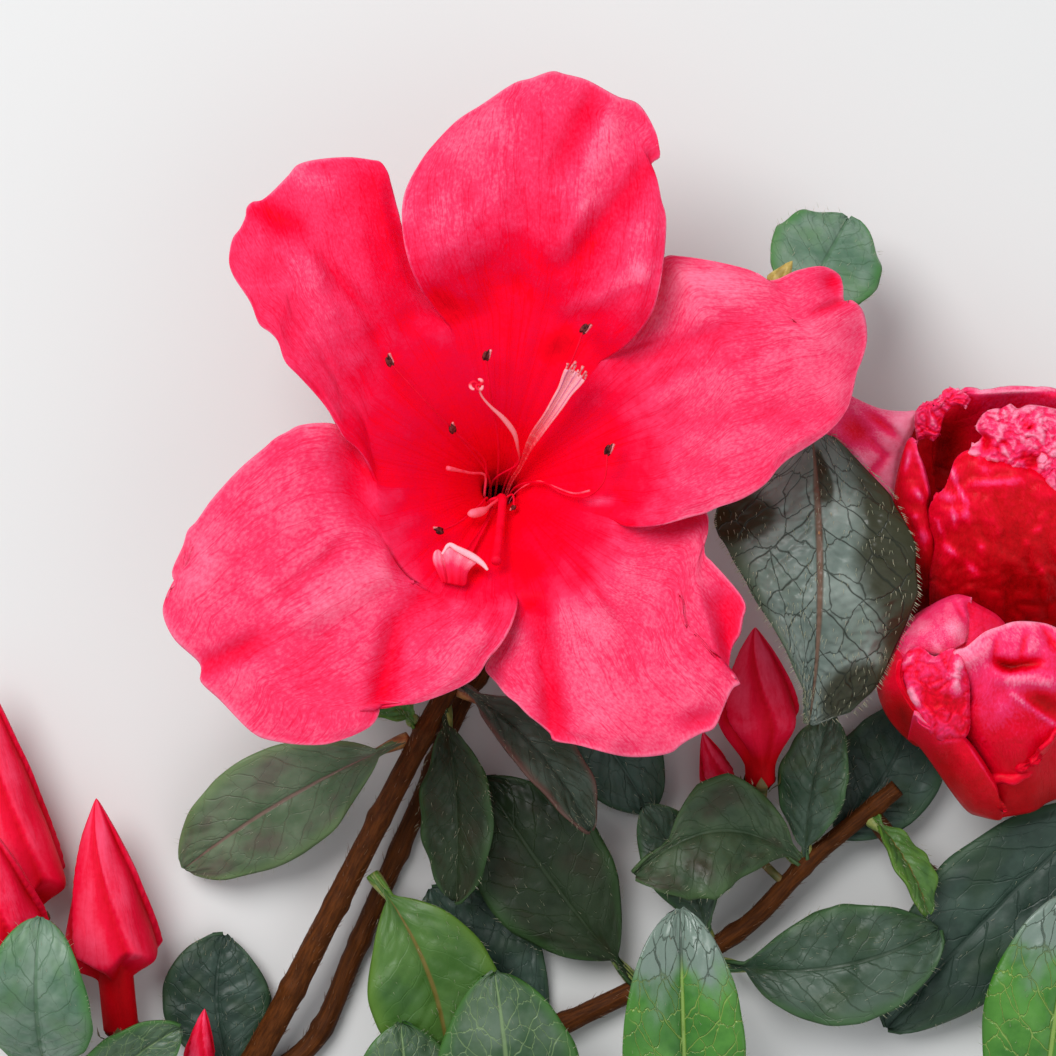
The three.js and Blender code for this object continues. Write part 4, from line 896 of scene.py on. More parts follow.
def speckled_finish(name, low, high, roughness, scale=700.0, gloss=0.4):
    """A finish for small things: two colours in soft specks, with a fine relief."""
    material, tree, shader = new_finish(name, roughness, Specular_IOR_Level=gloss)
    specks = noise_fac(tree, coordinates(tree, "Object"), scale, 4.0, 0.6)
    dress(tree, shader, blend(tree, ramp(tree, specks, 0.35, 0.68), low, high), specks, 0.5, 0.0002)
    return material


def fading_finish(name, foot, tip, start, end):
    """A thread that fades along its way from one colour to another."""
    material, tree, shader = new_finish(name, 0.5, Specular_IOR_Level=0.15)
    along = uv_parts(tree, coordinates(tree, "UV"))[1]
    specks = noise_fac(tree, coordinates(tree, "Object"), 900.0)
    dress(tree, shader, blend(tree, ramp(tree, along, start, end), foot, tip), specks, 0.3, 0.0001)
    return material


def striped_finish(name):
    """The petaloid stamen: pale pink with violet stripes and a coral foot."""
    material, tree, shader = new_finish(name, 0.45, Specular_IOR_Level=0.2, Subsurface_Weight=0.1)
    across, along = uv_parts(tree, coordinates(tree, "UV"))
    wave = calc(tree, "PINGPONG", calc(tree, "MULTIPLY", across, 1.5), 0.5)
    stripe = ramp(tree, wave, 0.0, 0.2, 0.75, 0.0)
    colour = blend(tree, stripe, (0.92, 0.36, 0.4), (0.42, 0.05, 0.2))
    colour = blend(tree, ramp(tree, along, 0.56, 0.92, 1.0, 0.0), colour, (0.86, 0.02, 0.04))
    grains = noise_fac(tree, coordinates(tree, "Object"), 1600.0, 3.0)
    colour = blend(tree, ramp(tree, grains, 0.5, 0.75, 0.0, 0.3), colour, (0.95, 0.6, 0.56))
    dress(tree, shader, colour, grains, 0.4, 0.0001)
    return material


# In the first three ramps the darkest stops serve as painted shade in the tube, creases and hollows, and the
# palest pinks as painted sheen and highlights.
petal = petal_finish("petal_skin", [
    (0.0, (0.016, 0.0, 0.0)), (0.06, (0.4, 0.0, 0.003)), (0.3, (0.56, 0.0, 0.008)), (0.5, (0.88, 0.0, 0.012)),
    (0.62, (0.77, 0.002, 0.033)), (0.72, (0.77, 0.014, 0.066)), (0.82, (0.79, 0.035, 0.112)),
    (1.0, (0.86, 0.16, 0.27))], vein_show=1.4)
double_petal = petal_finish("double_petal_skin", [
    (0.0, (0.1, 0.0, 0.0)), (0.2, (0.3, 0.0, 0.001)), (0.4, (0.52, 0.0, 0.005)), (0.6, (0.78, 0.0, 0.022)),
    (0.8, (0.86, 0.03, 0.14)), (1.0, (0.92, 0.27, 0.4))],
    roughness=0.42, gloss=0.1, dashes=(60, 40), veins=(9, 3))
bud_skin = petal_finish("bud_skin", [
    (0.0, (0.16, 0.0, 0.001)), (0.4, (0.5, 0.0, 0.004)), (0.7, (0.74, 0.004, 0.035)),
    (1.0, (0.84, 0.07, 0.15))], gloss=0.06, dashes=(30, 8), veins=(12, 1.5))
pale_petaloid = petal_finish("pale_petaloid_skin", [
    (0.0, (0.78, 0.001, 0.02)), (0.45, (0.88, 0.02, 0.08)), (0.75, (0.92, 0.17, 0.26)),
    (1.0, (0.95, 0.46, 0.52))], dashes=(20, 8), veins=(6, 1), mottle=0.04)
# Leaf skins: the colours of the blade, its painted sheen, its veins, its patches and its rim, then what else
# differs
LEAF_SKINS = {
    "dark": {"colours": [
        (0.016, 0.042, 0.02), (0.06, 0.098, 0.068), (0.02, 0.036, 0.016), (0.03, 0.06, 0.022),
        (0.04, 0.1, 0.03)]},
    # The shade skin is a darker, less glossy version of the dark one: painted shade for leaves in shadow.
    "shade": {"colours": [
        (0.008, 0.018, 0.006), (0.022, 0.038, 0.016), (0.03, 0.05, 0.02), (0.022, 0.02, 0.008),
        (0.03, 0.07, 0.02)], "gloss": 0.22, "vein_show": 0.35},
    "folded": {"colours": [
        (0.018, 0.036, 0.018), (0.07, 0.1, 0.075), (0.02, 0.03, 0.014), (0.03, 0.04, 0.02),
        (0.13, 0.05, 0.04)], "vein_show": 0.35},
    "blue_green": {"colours": [
        (0.014, 0.032, 0.022), (0.04, 0.075, 0.055), (0.015, 0.03, 0.02), (0.02, 0.045, 0.02),
        (0.03, 0.07, 0.03)], "roughness": 0.45, "vein_show": 0.4},
    "pale": {"colours": [
        (0.07, 0.15, 0.09), (0.19, 0.27, 0.2), (0.04, 0.12, 0.04), (0.1, 0.2, 0.09),
        (0.04, 0.17, 0.02)]},
    "bronze": {"colours": [
        (0.06, 0.105, 0.048), (0.125, 0.165, 0.1), (0.09, 0.07, 0.05), (0.09, 0.065, 0.055),
        (0.12, 0.19, 0.07)], "roughness": 0.46, "vein_show": 0.3, "midrib_tint": (0.17, 0.1, 0.08)},
    "olive": {"colours": [
        (0.022, 0.048, 0.02), (0.065, 0.105, 0.05), (0.04, 0.07, 0.03), (0.04, 0.028, 0.015),
        (0.05, 0.1, 0.03)], "roughness": 0.42, "vein_show": 0.3},
    "young": {"colours": [
        (0.035, 0.105, 0.012), (0.07, 0.16, 0.03), (0.07, 0.17, 0.03), (0.03, 0.09, 0.02),
        (0.08, 0.17, 0.015)],
        "roughness": 0.42, "vein_show": 0.2, "puff": 0.25, "midrib_tint": (0.15, 0.1, 0.015)},
    "bright": {"colours": [
        (0.02, 0.12, 0.008), (0.08, 0.25, 0.03), (0.3, 0.42, 0.09), (0.05, 0.2, 0.02),
        (0.04, 0.16, 0.01)],
        "gloss": 0.5, "roughness": 0.28, "vein_show": 0.6, "puff": 0.7, "net_show": 1.0, "cells": (6, 12),
        "sheen": (0.95, (0.15, 0.21, 0.17))},
    "front": {"colours": [
        (0.022, 0.065, 0.022), (0.1, 0.15, 0.1), (0.2, 0.3, 0.12), (0.06, 0.11, 0.05),
        (0.035, 0.13, 0.012)],
        "gloss": 0.35, "roughness": 0.36, "vein_show": 0.6, "net_show": 1.0, "cells": (7, 12)},
    "veined": {"colours": [
        (0.1, 0.135, 0.115), (0.22, 0.26, 0.23), (0.01, 0.014, 0.007), (0.12, 0.155, 0.125),
        (0.05, 0.08, 0.035)],
        "roughness": 0.36, "vein_show": 0.9, "puff": 0.45, "net_show": 0.9, "cells": (6, 9),
        # The first dark spot, along the edge at across -1, is painted shade where the blade turns down; the
        # others are darker places on the blade.
        "midrib_tint": (0.16, 0.09, 0.06), "dark_spot_colour": (0.022, 0.02, 0.004), "dark_spots": [
            (-1.0, 0.42, 0.62, 0.34), (-0.6, 0.88, 0.5, 0.12), (0.9, 0.3, 0.5, 0.1), (-0.1, 0.2, 0.16, 0.1)]},
}
leaf_skins = {name: leaf_finish("leaf_" + name, **row) for name, row in LEAF_SKINS.items()}
rib_skin = speckled_finish("leaf_rib", (0.10, 0.16, 0.03), (0.28, 0.3, 0.08), 0.5)
red_rib_skin = speckled_finish("leaf_rib_red", (0.2, 0.05, 0.02), (0.42, 0.2, 0.06), 0.5)
hair_skin = speckled_finish("hair", (0.3, 0.32, 0.2), (0.5, 0.48, 0.34), 0.5)
stem_hair_skin = speckled_finish("stem_hair", (0.14, 0.05, 0.02), (0.26, 0.12, 0.05), 0.5)
bark = bark_finish("bark", (0.04, 0.011, 0.002), (0.12, 0.034, 0.006), 0.5)
cut_wood = speckled_finish("cut_wood", (0.5, 0.4, 0.22), (0.66, 0.56, 0.36), 0.7)
thread_skin = speckled_finish("filament_skin", (0.76, 0.0, 0.018), (0.84, 0.002, 0.03), 0.6, gloss=0.1)
faint_thread_skin = speckled_finish("faint_filament_skin", (0.9, 0.03, 0.09), (0.95, 0.12, 0.18), 0.5)
pale_thread_skin = fading_finish("pale_filament_skin", (0.8, 0.002, 0.03), (0.93, 0.3, 0.33), 0.5, 0.72)
blob_skin = fading_finish("blob_skin", (0.8, 0.002, 0.03), (0.93, 0.17, 0.24), 0.6, 0.85)
anther_skin = speckled_finish("anther_skin", (0.03, 0.004, 0.005), (0.2, 0.03, 0.03), 0.5, 2500.0, 0.1)
pollen_skin = speckled_finish("anther_rim", (0.6, 0.1, 0.12), (0.86, 0.32, 0.34), 0.6, 2500.0, 0.1)
striped_skin = striped_finish("striped_petaloid_skin")
stalk_skin = speckled_finish("flower_stalk_skin", (0.07, 0.08, 0.016), (0.17, 0.1, 0.03), 0.55)
scale_skin = speckled_finish("bud_scale", (0.3, 0.2, 0.03), (0.55, 0.42, 0.1), 0.5)


# The open bloom's corolla: five lobes that grow out of one tube and funnel
def face_height(x, y):
    r = np.hypot(x - THROAT[0], y - THROAT[1])
    rise = FUNNEL_RISE * (1 - np.exp(-np.maximum(r - TUBE_RADII[1], 0) / FUNNEL_REACH))
    fall = RECURVE * np.maximum(r - RECURVE_FROM, 0) ** 2
    return THROAT[2] + rise - fall - FACE_TILT * (y - THROAT[1])


def rim_at(turn):
    """How far from the throat the funnel reaches at a turn in degrees: smooth between the sinuses."""
    marks = sorted((angle % 360, reach) for angle, reach in SINUS.values())
    marks = [(marks[-1][0] - 360, marks[-1][1])] + marks + [(marks[0][0] + 360, marks[0][1])]
    turn = np.asarray(turn) % 360
    reach = np.zeros_like(turn)
    for (a, low), (b, high) in zip(marks, marks[1:]):
        inside = (turn >= a) & (turn <= b)
        bulge = 1.6 * np.sin(np.pi * (turn - a) / (b - a)) ** 2
        reach = np.where(inside, low + (high - low) * smooth(a, b, turn) + bulge, reach)
    return reach


def folded(x, y, folds):
    """How high the folds make each place, and the painted highlight and shade they lay on its tone."""
    height = np.zeros_like(x)
    painted_light = np.zeros_like(x)
    for x0, y0, x1, y1, width, high, pale in folds:
        way = np.array([x1 - x0, y1 - y0], float)
        length = np.hypot(*way)
        way /= length
        along = (x - x0) * way[0] + (y - y0) * way[1]
        off = (x - x0) * -way[1] + (y - y0) * way[0]
        fade = min(2.5, 0.3 * length + 0.4)
        ends = smooth(-fade, fade, along) * smooth(length + fade, length - fade, along)
        there = np.exp(-((off / width) ** 2)) * ends
        height += high * there
        painted_light += pale * there
    return height, painted_light


def lobe_place(shape):
    left, right = (SINUS[name] for name in shape["sinuses"])
    from_turn, to_turn = left[0], right[0]
    if from_turn < to_turn:
        from_turn += 360

    def round_throat(turn, reach):
        turn = np.radians(turn)
        return np.stack([THROAT[0] + reach * np.cos(turn), THROAT[1] + reach * np.sin(turn)], -1)

    outline = np.vstack([round_throat(from_turn, left[1]), shape["margin"], round_throat(to_turn, right[1])])
    i, j = (corner + 1 for corner in shape["corners"])
    fine = 500
    turns = from_turn + (to_turn - from_turn) * np.linspace(0, 1, fine)
    spread = spread_between(
        curve_through(outline, fine, (0, i)), curve_through(outline, fine, (i, j)),
        curve_through(outline, fine, (j, len(outline) - 1))[::-1], round_throat(turns, rim_at(turns)))

    def place(u, v):
        t = (u + 1) / 2
        turn = from_turn + (to_turn - from_turn) * t
        rim = rim_at(turn)
        # The tube, then the funnel
        up = np.clip(v / TUBE_SHARE, 0, 1)
        centre = TUBE_FOOT + (THROAT - TUBE_FOOT) * up[:, None]
        tube_radius = (TUBE_RADII[0] + (TUBE_RADII[1] - TUBE_RADII[0]) * up) * smooth(-0.01, 0.12, up)
        share = np.clip((v - TUBE_SHARE) / (FUNNEL_SHARE - TUBE_SHARE), 0, 1) ** 1.3
        reach = np.where(v < TUBE_SHARE, tube_radius, TUBE_RADII[1] + (rim - TUBE_RADII[1]) * share)
        radians = np.radians(turn)
        x = centre[:, 0] + reach * np.cos(radians)
        y = centre[:, 1] + reach * np.sin(radians)
        mouth = face_height(x, y)
        bottom = TUBE_FOOT[2] + TUBE_FLOOR
        z = np.where(v < TUBE_SHARE, bottom + (mouth - bottom) * up, mouth)
        # The lobe beyond the rim, spread between its four edges
        w = np.clip((v - FUNNEL_SHARE) / (1 - FUNNEL_SHARE), 0, 1)
        lobe = spread(t, w)
        beyond = v > FUNNEL_SHARE
        x = np.where(beyond, lobe[:, 0], x)
        y = np.where(beyond, lobe[:, 1], y)
        z = np.where(beyond, face_height(x, y), z)
        flat = np.stack([x, y, np.zeros_like(x)], -1)
        z = z + shape["layer"] * smooth(0, 0.4, w)
        for edge, lift in zip((-1, 1), shape["lifts"]):
            z = z + lift * smooth(0, 0.16, w) * smooth(0.35, 1, u * edge) * (1 - 0.6 * smooth(0.5, 1, w))
        inner = smooth(TUBE_SHARE, FUNNEL_SHARE, v)
        high, painted_light = folded(x, y, shape["folds"])
        coarse = grain(flat, 7.0, 3.0)
        middling = grain(flat, 2.4, 5.0)
        z = z + high * smooth(0, 0.15, w) + 0.4 * coarse * inner + 0.17 * middling * inner
        margin = np.maximum(smooth(0.84, 1, np.abs(u)), smooth(0.88, 1, w)) * smooth(0.05, 0.25, w)
        z = z + TIP_WAVE * grain(flat, 3.4, 9.0) * margin - 0.4 * margin
        ribs = np.cos(np.pi * RIBS * u) * (1 - smooth(0.5, 0.95, w)) * inner
        z = z + 0.05 * ribs * smooth(0, 0.2, 1 - np.abs(u))
        # Tone: paler away from the throat as painted sheen, with the folds' painted highlight and shade, a
        # pale rim at the edges and random variation.
        r = np.hypot(x - THROAT[0], y - THROAT[1])
        ragged = r + 2.2 * middling + 1.3 * grain(flat, 1.1, 7.0)
        start, full, sheen_gain = shape["painted_sheen"]
        tone = 0.51 + 0.07 * smooth(2.5, 12, r) + sheen_gain * smooth(start, full, ragged)
        tone = tone + np.where(painted_light < 0, 0.5 * painted_light, painted_light) + 0.04 * coarse + 0.04 * middling
        edge = np.maximum(smooth(0.97, 1, np.abs(u)), smooth(0.98, 1, w)) * smooth(0.02, 0.1, w)
        # The tube's wall darkens to near black towards its foot: painted shade down the throat.
        tone = np.clip(tone + 0.2 * edge, 0.1, 1) * smooth(0.72, 1.1, v / TUBE_SHARE + 0.12 * middling)
        return seen(np.stack([x, y, z], -1)), tone

    return place


def corolla():
    bm = None
    for shape in LOBES.values():
        bm = bent_grid(LOBE_ACROSS, LOBE_ALONG, lobe_place(shape), into=bm)
    piece("bloom_petals", bm, [petal], ["bloom_corolla"], thick=PETAL_THICK)


# What stands in the bloom's throat
def tube_axes():
    """The foot of the bloom's tube, its axis and two directions across it."""
    foot = seen(TUBE_FOOT)
    axis = unit(seen(THROAT + UP) - foot)
    first = unit(RIGHT - axis * axis[0])
    return foot, axis, first, np.cross(axis, first)


def in_tube(up, out, turn):
    foot, axis, first, second = tube_axes()
    turn = math.radians(turn)
    return foot + axis * (DISC_TOP + up) + (first * math.cos(turn) + second * math.sin(turn)) * out


def over_face(places):
    """True places from x, y and the height over the bloom's face."""
    return [seen((x, y, float(face_height(x, y)) + over)) for x, y, over in places]


def thread_line(thread, count=60, seat=THREAD_SEAT):
    ends = [in_tube(up, out, thread["turn"]) for up, out in seat]
    return curve_through(np.array(ends + over_face(thread["way"])), count)


def rounded(share):
    """The profile of a sac with round ends."""
    return np.sqrt(np.clip(1 - (2 * share - 1) ** 2, 0.02, 1))


def anther(bm, line, size=1.0):
    """Two dark sacs side by side on the filament's tip, one of them longer and with a pale seam."""
    tip = line[-1]
    ahead = unit(line[-1] - line[-5])
    side = unit(np.cross(ahead, UP))
    lean = unit(ahead + side * 0.35 + UP * 0.2)
    for edge, long in ((-1, 0.7), (1, 0.9)):
        centre = tip + side * edge * 0.2 * size + lean * 0.35 * size
        sac = centre + lean * np.linspace(-long, long, 12)[:, None] * size
        round_rod(sac, lambda turn, share: 0.3 * size * rounded(share), 12, bm, 1)
    # The pale seam on the upper side is partly pollen and partly a painted highlight.
    seam = centre + side * 0.16 * size + UP * 0.16 * size + lean * np.linspace(-0.5, 0.8, 8)[:, None] * size
    round_rod(seam, 0.14 * size, 8, bm, 2)


def stamens():
    bm = bmesh.new()
    foot, axis = tube_axes()[:2]
    disc = foot + axis * np.linspace(2.4, 3.5, 8)[:, None]
    round_rod(disc, lambda turn, share: 1.6 * np.sqrt(np.clip(1 - share ** 3, 0.05, 1)), 24, bm)
    for filament in FILAMENTS:
        line = thread_line(filament)
        round_rod(line, lambda turn, share: 0.13 - 0.02 * share, 10, bm)
        anther(bm, line, filament.get("size", 0.9))
    round_rod(thread_line(STYLE), widening(0.46, 0.1, 0.9, 1), 14, bm)
    round_rod(thread_line(LEFT_THREAD), widening(0.14, 0.12, 0.8, 1), 10, bm, 3)
    round_rod(thread_line(RIGHT_THREAD), widening(0.07, 0.05, 0.6, 1), 8, bm, 3)

    def blob_radius(turn, share):
        closing = np.sqrt(np.clip(1 - smooth(0.96, 1, share), 0.02, 1))
        return 0.2 + 0.32 * smooth(0.76, 0.9, share) * closing

    round_rod(thread_line(BLOB), blob_radius, 14, bm, 4)
    skins = [thread_skin, anther_skin, pollen_skin, faint_thread_skin, blob_skin]
    piece("bloom_threads", bm, skins, ["bloom_stamens"])


def ribbon(line, width, cup, across_count=14, tone=0.5):
    """A strip along a line, cupped across, of a width that depends on the share of the way."""
    tangents = unit(np.gradient(line, axis=0))
    across = unit(np.cross(tangents, UP))
    face = np.cross(across, tangents)
    along = len(line) - 1

    def place(u, v):
        at = np.rint(v * along).astype(int)
        half = width(v) / 2
        return line[at] + across[at] * (u * half)[:, None] + face[at] * (cup(u, v) * half)[:, None]

    return bent_grid(across_count, along, place, tone=tone)


def striped_petaloid():
    line = thread_line(STRIPED, 90, PETALOID_SEAT)

    def width(v):
        return 0.4 + 0.8 * smooth(0.45, 0.72, v) + 0.4 * smooth(0.75, 0.92, v) + 0.8 * smooth(0.9, 1, v)

    bm = ribbon(line, width, lambda u, v: 0.75 * np.abs(u) ** 1.5 + 0.12 * np.cos(9 * u), 24)
    ahead = unit(line[-1] - line[-4])
    side = unit(np.cross(ahead, UP))
    for n in range(7):
        start = line[-1] + side * (n - 3) * 0.38 + UP * 0.1 * abs(n - 3)
        curl = start + ahead * np.linspace(-0.3, 0.3 + 0.35 * ((n * 2) % 3), 8)[:, None]
        curl = curl + side * (0.25 * (n % 2 - 0.5) * np.linspace(0, 1, 8) ** 2)[:, None]
        round_rod(curl, widening(0.11, 0.05, 0.6, 0.9), 6, bm, 1)
    skins = [striped_skin, pollen_skin]
    piece("striped_stamen", bm, skins, ["striped_petaloid"], thick=0.14)


def curled_petaloid():
    line = thread_line(CURLED_FOOT, 60, PETALOID_SEAT)
    bm = ribbon(line, lambda v: 0.3 + 0.6 * smooth(0.6, 1, v), lambda u, v: 0.6 * u * u, 10, 0.0)
    for outline, corners, heights in CURLED:
        bent_grid(26, 30, flap(outline, corners, heights), bm)
    rim = curve_through(np.array(over_face(CURL_RIM)), 60)
    round_rod(rim, lambda turn, share: 0.12 + 0.26 * np.sin(np.pi * share ** 1.4) ** 0.8, 14, bm, 0, 1.0)
    piece("curled_stamen", bm, [pale_petaloid], ["curled_petaloid"], thick=0.1)


def pale_stamen():
    """The pale thread, with a swelling and three little loops at its tip."""
    line = thread_line(PALE_THREAD, 70, PETALOID_SEAT)
    bm = round_rod(line, lambda turn, share: 0.1 + 0.2 * np.exp(-(((share - 0.74) / 0.12) ** 2)), 12)
    t = np.linspace(0, 1, 14)
    for turned, size in ((0.4, 0.5), (2.2, 0.42), (3.9, 0.36)):
        sideways = 0.8 * size * (np.cos(turned + 4.4 * t) - math.cos(turned))
        ahead = 0.8 * size * (np.sin(turned + 4.4 * t) - math.sin(turned))
        loop = line[-1] + np.stack([sideways, ahead, 0.3 * t], -1)
        round_rod(loop, lambda turn, share: 0.13 + 0.07 * np.sin(np.pi * share), 8, bm)
    piece("pale_stamen", bm, [pale_thread_skin], ["pistil"])


def flap(outline, corners, heights):
    """A small curled sheet over the face, redder towards its foot."""
    spread = sheet_spread(outline, corners)

    def place(u, v):
        t = (u + 1) / 2
        at = spread(t, v)
        over = from_corners(heights, t, v) + 0.7 * (1 - u * u) * np.sin(np.pi * np.clip(v, 0, 1)) ** 0.7
        z = face_height(at[:, 0], at[:, 1]) + over
        tone = 0.05 + 0.75 * smooth(0.05, 0.9, v) + 0.06 * np.cos(9 * u)
        return seen(np.stack([at[:, 0], at[:, 1], z], -1)), tone

    return place


def sheet_spread(outline, corners):
    """A sheet inside a closed outline that starts at the foot's left corner and goes by the tip."""
    b, c, d = corners
    points = np.array([*outline, outline[0]], float)
    fine = 300
    return spread_between(
        curve_through(points, fine, (0, b)), curve_through(points, fine, (b, c)),
        curve_through(points, fine, (c, d))[::-1], curve_through(points, fine, (d, len(points) - 1))[::-1])


# Woody limbs
def limb_relief(radii, phase, length):
    """Bark relief: fine furrows along the limb, low knobs at the nodes and a slight waver."""

    def radius(turn, share):
        way = share * length
        base = radii[0] + (radii[1] - radii[0]) * share
        ring = np.stack([np.cos(turn) * base, np.sin(turn) * base, way * 0.45 + phase], -1)
        furrow = np.abs(grain(ring, 0.55, phase))
        lump = grain(ring, 2.2, phase + 4)
        node = np.exp(-(((way + phase) % NODE_EVERY - NODE_EVERY / 2) / 0.9) ** 2)
        side = 0.5 + 0.5 * np.cos(turn - 2.4 * np.floor((way + phase) / NODE_EVERY))
        return base * (0.95 + 0.04 * lump) + 0.07 * furrow + 0.2 * node * (0.3 + side)

    return radius


def wood():
    """The limbs in bark. The first one starts with the cut."""
    for number, (name, (route, radii)) in enumerate(LIMBS.items()):
        length = length_of(curve_through(seen(route), 60))
        line = curve_through(seen(route), int(length / 0.32))
        bm = round_rod(line, limb_relief(radii, 3.7 * number, length), 30)
        start = Vector(line[0])
        ahead = Vector(line[1] - line[0])
        for face in bm.faces if number == 0 else ():
            near = all((vert.co - start).length < radii[0] * 1.3 for vert in face.verts)
            if near and abs(face.normal.dot(ahead)) > 0.2:
                face.material_index = 1
        piece(name + "_bark", bm, [bark, cut_wood], [name])


# Leaves
def bowed(base, tip, arch, bow, count):
    base, tip = seen(base), seen(tip)
    left = unit(np.cross(UP, unit(tip - base)))
    return bent_line(base, (base + tip) / 2 + UP * 2 * arch + left * 2 * bow, tip, 200, count)


def blade_half(name, width, u, v):
    """Half the blade's width: a narrow stalk, a wedge foot and a blunt tip with a tiny point."""
    if name in UNEVEN:
        left, right = (np.interp(v, *UNEVEN[name][edge]) for edge in (1, -1))
        return np.where(np.asarray(u) > 0, left, right)
    s = np.clip((v - STALK_SHARE) / (1 - STALK_SHARE), 0, 1)
    power = 0.78 - 0.22 * smooth(0.3, 0.9, s)
    blade = np.clip(np.sin(np.pi * s ** 1.02), 0, 1) ** power * width / 2
    point = 0.16 + 0.3 * smooth(1, 0.95, s)
    return np.maximum(blade, np.where(v < 0.5, STALK_HALF, point))


def leaf(name, base, tip, width, arch, bow, roll, fold, finish):
    fine = name == FINE_LEAF
    across, along = FINE_GRID if fine else LEAF_GRID
    line = bowed(base, tip, arch, bow, along + 1)
    tangents = unit(np.gradient(line, axis=0))
    face = unit(UP - tangents * tangents[:, 2:3])
    angle = math.radians(roll)
    side = np.cross(tangents, face)
    cos, sin = math.cos(angle), math.sin(angle)
    face, side = face * cos - side * sin, side * cos + face * sin
    seed = seed_of(name, 0.37)

    def place(u, v):
        at = np.rint(v * along).astype(int)
        edge = np.abs(u)
        wiggle = grain(np.stack([np.sign(u) * 3, v * 9, np.zeros_like(u)], -1), 1.0, seed)
        half = blade_half(name, width, u, v) * (1 + 0.04 * wiggle * edge)
        flat = np.stack([u * width / 2, v * len(line) * 0.4, np.zeros_like(u)], -1)
        climb = v * VEIN_PAIRS - VEIN_CLIMB * edge + VEIN_STAGGER * np.sign(u) + 0.25 * grain(flat, 4.0, seed)
        to_vein = np.abs((climb + 0.5) % 1 - 0.5)
        inside = smooth(0.98, 0.7, edge) * smooth(STALK_SHARE, 0.25, v)
        rise = fold * edge * half
        rise = rise - 0.28 * np.exp(-((u * half / 0.45) ** 2)) * smooth(0.05, 0.2, v)
        rise = rise - 0.2 * np.exp(-((to_vein / 0.09) ** 2)) * inside
        rise = rise + 0.16 * grain(flat, 1.1, seed + 2) * inside * (1.6 if fine else 1)
        rise = rise + 0.5 * grain(flat, 5.0, seed + 7) * edge
        rise = rise - 0.1 * half * edge ** 5 + 0.25 * (edge ** 3) * np.sin(v * 26 + seed + np.sign(u))
        return line[at] + side[at] * (u * half)[:, None] + face[at] * rise[:, None]

    bm = bent_grid(across, along, place)
    piece(name + "_blade", bm, [leaf_skins[finish]], [name], thick=LEAF_THICK)
    return line, face, side


def hair_on_leaf(hairs, name, row, line, face, side):
    """One hair, four times out of ten on the leaf's edge."""
    width, fold = row[2], row[6]
    v = random.uniform(0.02, 0.99)
    on_edge = random.random() < 0.4
    u = random.choice((-1, 1)) * 0.99 if on_edge else random.uniform(-0.95, 0.95)
    at = int(v * (len(line) - 1))
    half = float(blade_half(name, width, np.array([u]), np.array([v]))[0])
    spot = line[at] + side[at] * u * half + face[at] * (fold * abs(u) * half - 0.05)
    ahead = line[min(at + 1, len(line) - 1)] - line[at - 1 if at else 0]
    lean = unit(ahead) * random.uniform(0.5, 1) + face[at] * random.uniform(0.15, 0.5)
    lean = lean + side[at] * (np.sign(u) * (0.9 if on_edge else random.uniform(-0.3, 0.3)))
    hair(hairs, spot, unit(lean), random.uniform(0.4, 0.8), 0.04 if name == FINE_LEAF else 0.025)


def leaf_ribs_and_hairs():
    """The leaves, then their stalks and ribs in two joined pieces, and the fine hairs on them in one."""
    ribs = {"green": bmesh.new(), "red": bmesh.new()}
    hairs = bmesh.new()
    for name, row in LEAVES.items():
        line, face, side = leaf(name, *row)
        end = int(RIB_SHARE * (len(line) - 1))
        kind = "red" if name in RED_RIBBED else "green"

        def rib_radius(turn, share):
            return 0.16 + 0.5 * smooth(0.2, 0.02, share) + 0.18 * smooth(1, 0.1, share)

        round_rod(line[:end] - face[:end] * RIB_DEPTH, rib_radius, 10, ribs[kind])
        for _ in range(FINE_HAIRS if name == FINE_LEAF else LEAF_HAIRS):
            hair_on_leaf(hairs, name, row, line, face, side)
    piece("leaf_ribs", ribs["green"], [rib_skin])
    piece("leaf_ribs_red", ribs["red"], [red_rib_skin])
    piece("leaf_hairs", hairs, [hair_skin], merge=1e-6)


def hair(bm, spot, direction, length, radius):
    turned = Vector(direction).to_track_quat("Z", "Y").to_matrix().to_4x4()
    at = Matrix.Translation(Vector(spot) + Vector(direction) * (length / 2)) @ turned
    bmesh.ops.create_cone(bm, segments=3, radius1=radius, radius2=radius * 0.15, depth=length, matrix=at)


def stem_hairs():
    bm = bmesh.new()
    fine = 400
    for route, radii in LIMBS.values():
        line = curve_through(seen(route), fine)
        tangents, sides, uppers = carried_frames(line)
        for _ in range(int(length_of(line) * HAIRS_PER_MM)):
            at = random.randrange(4, fine - 4)
            turn = random.uniform(-math.pi, math.pi)
            out = sides[at] * math.cos(turn) + uppers[at] * math.sin(turn)
            radius = radii[0] + (radii[1] - radii[0]) * at / fine
            lean = unit(out * random.uniform(0.3, 0.8) + tangents[at])
            hair(bm, line[at] + out * radius * 0.95, lean, random.uniform(0.5, 1.1), 0.045)
    piece("stem_hairs", bm, [stem_hair_skin], merge=1e-6)


# Buds
def stalk_line(foot, end, axis, count=24):
    return bent_line(foot, end - axis * np.linalg.norm(end - foot) * 0.5, end, 80, count)


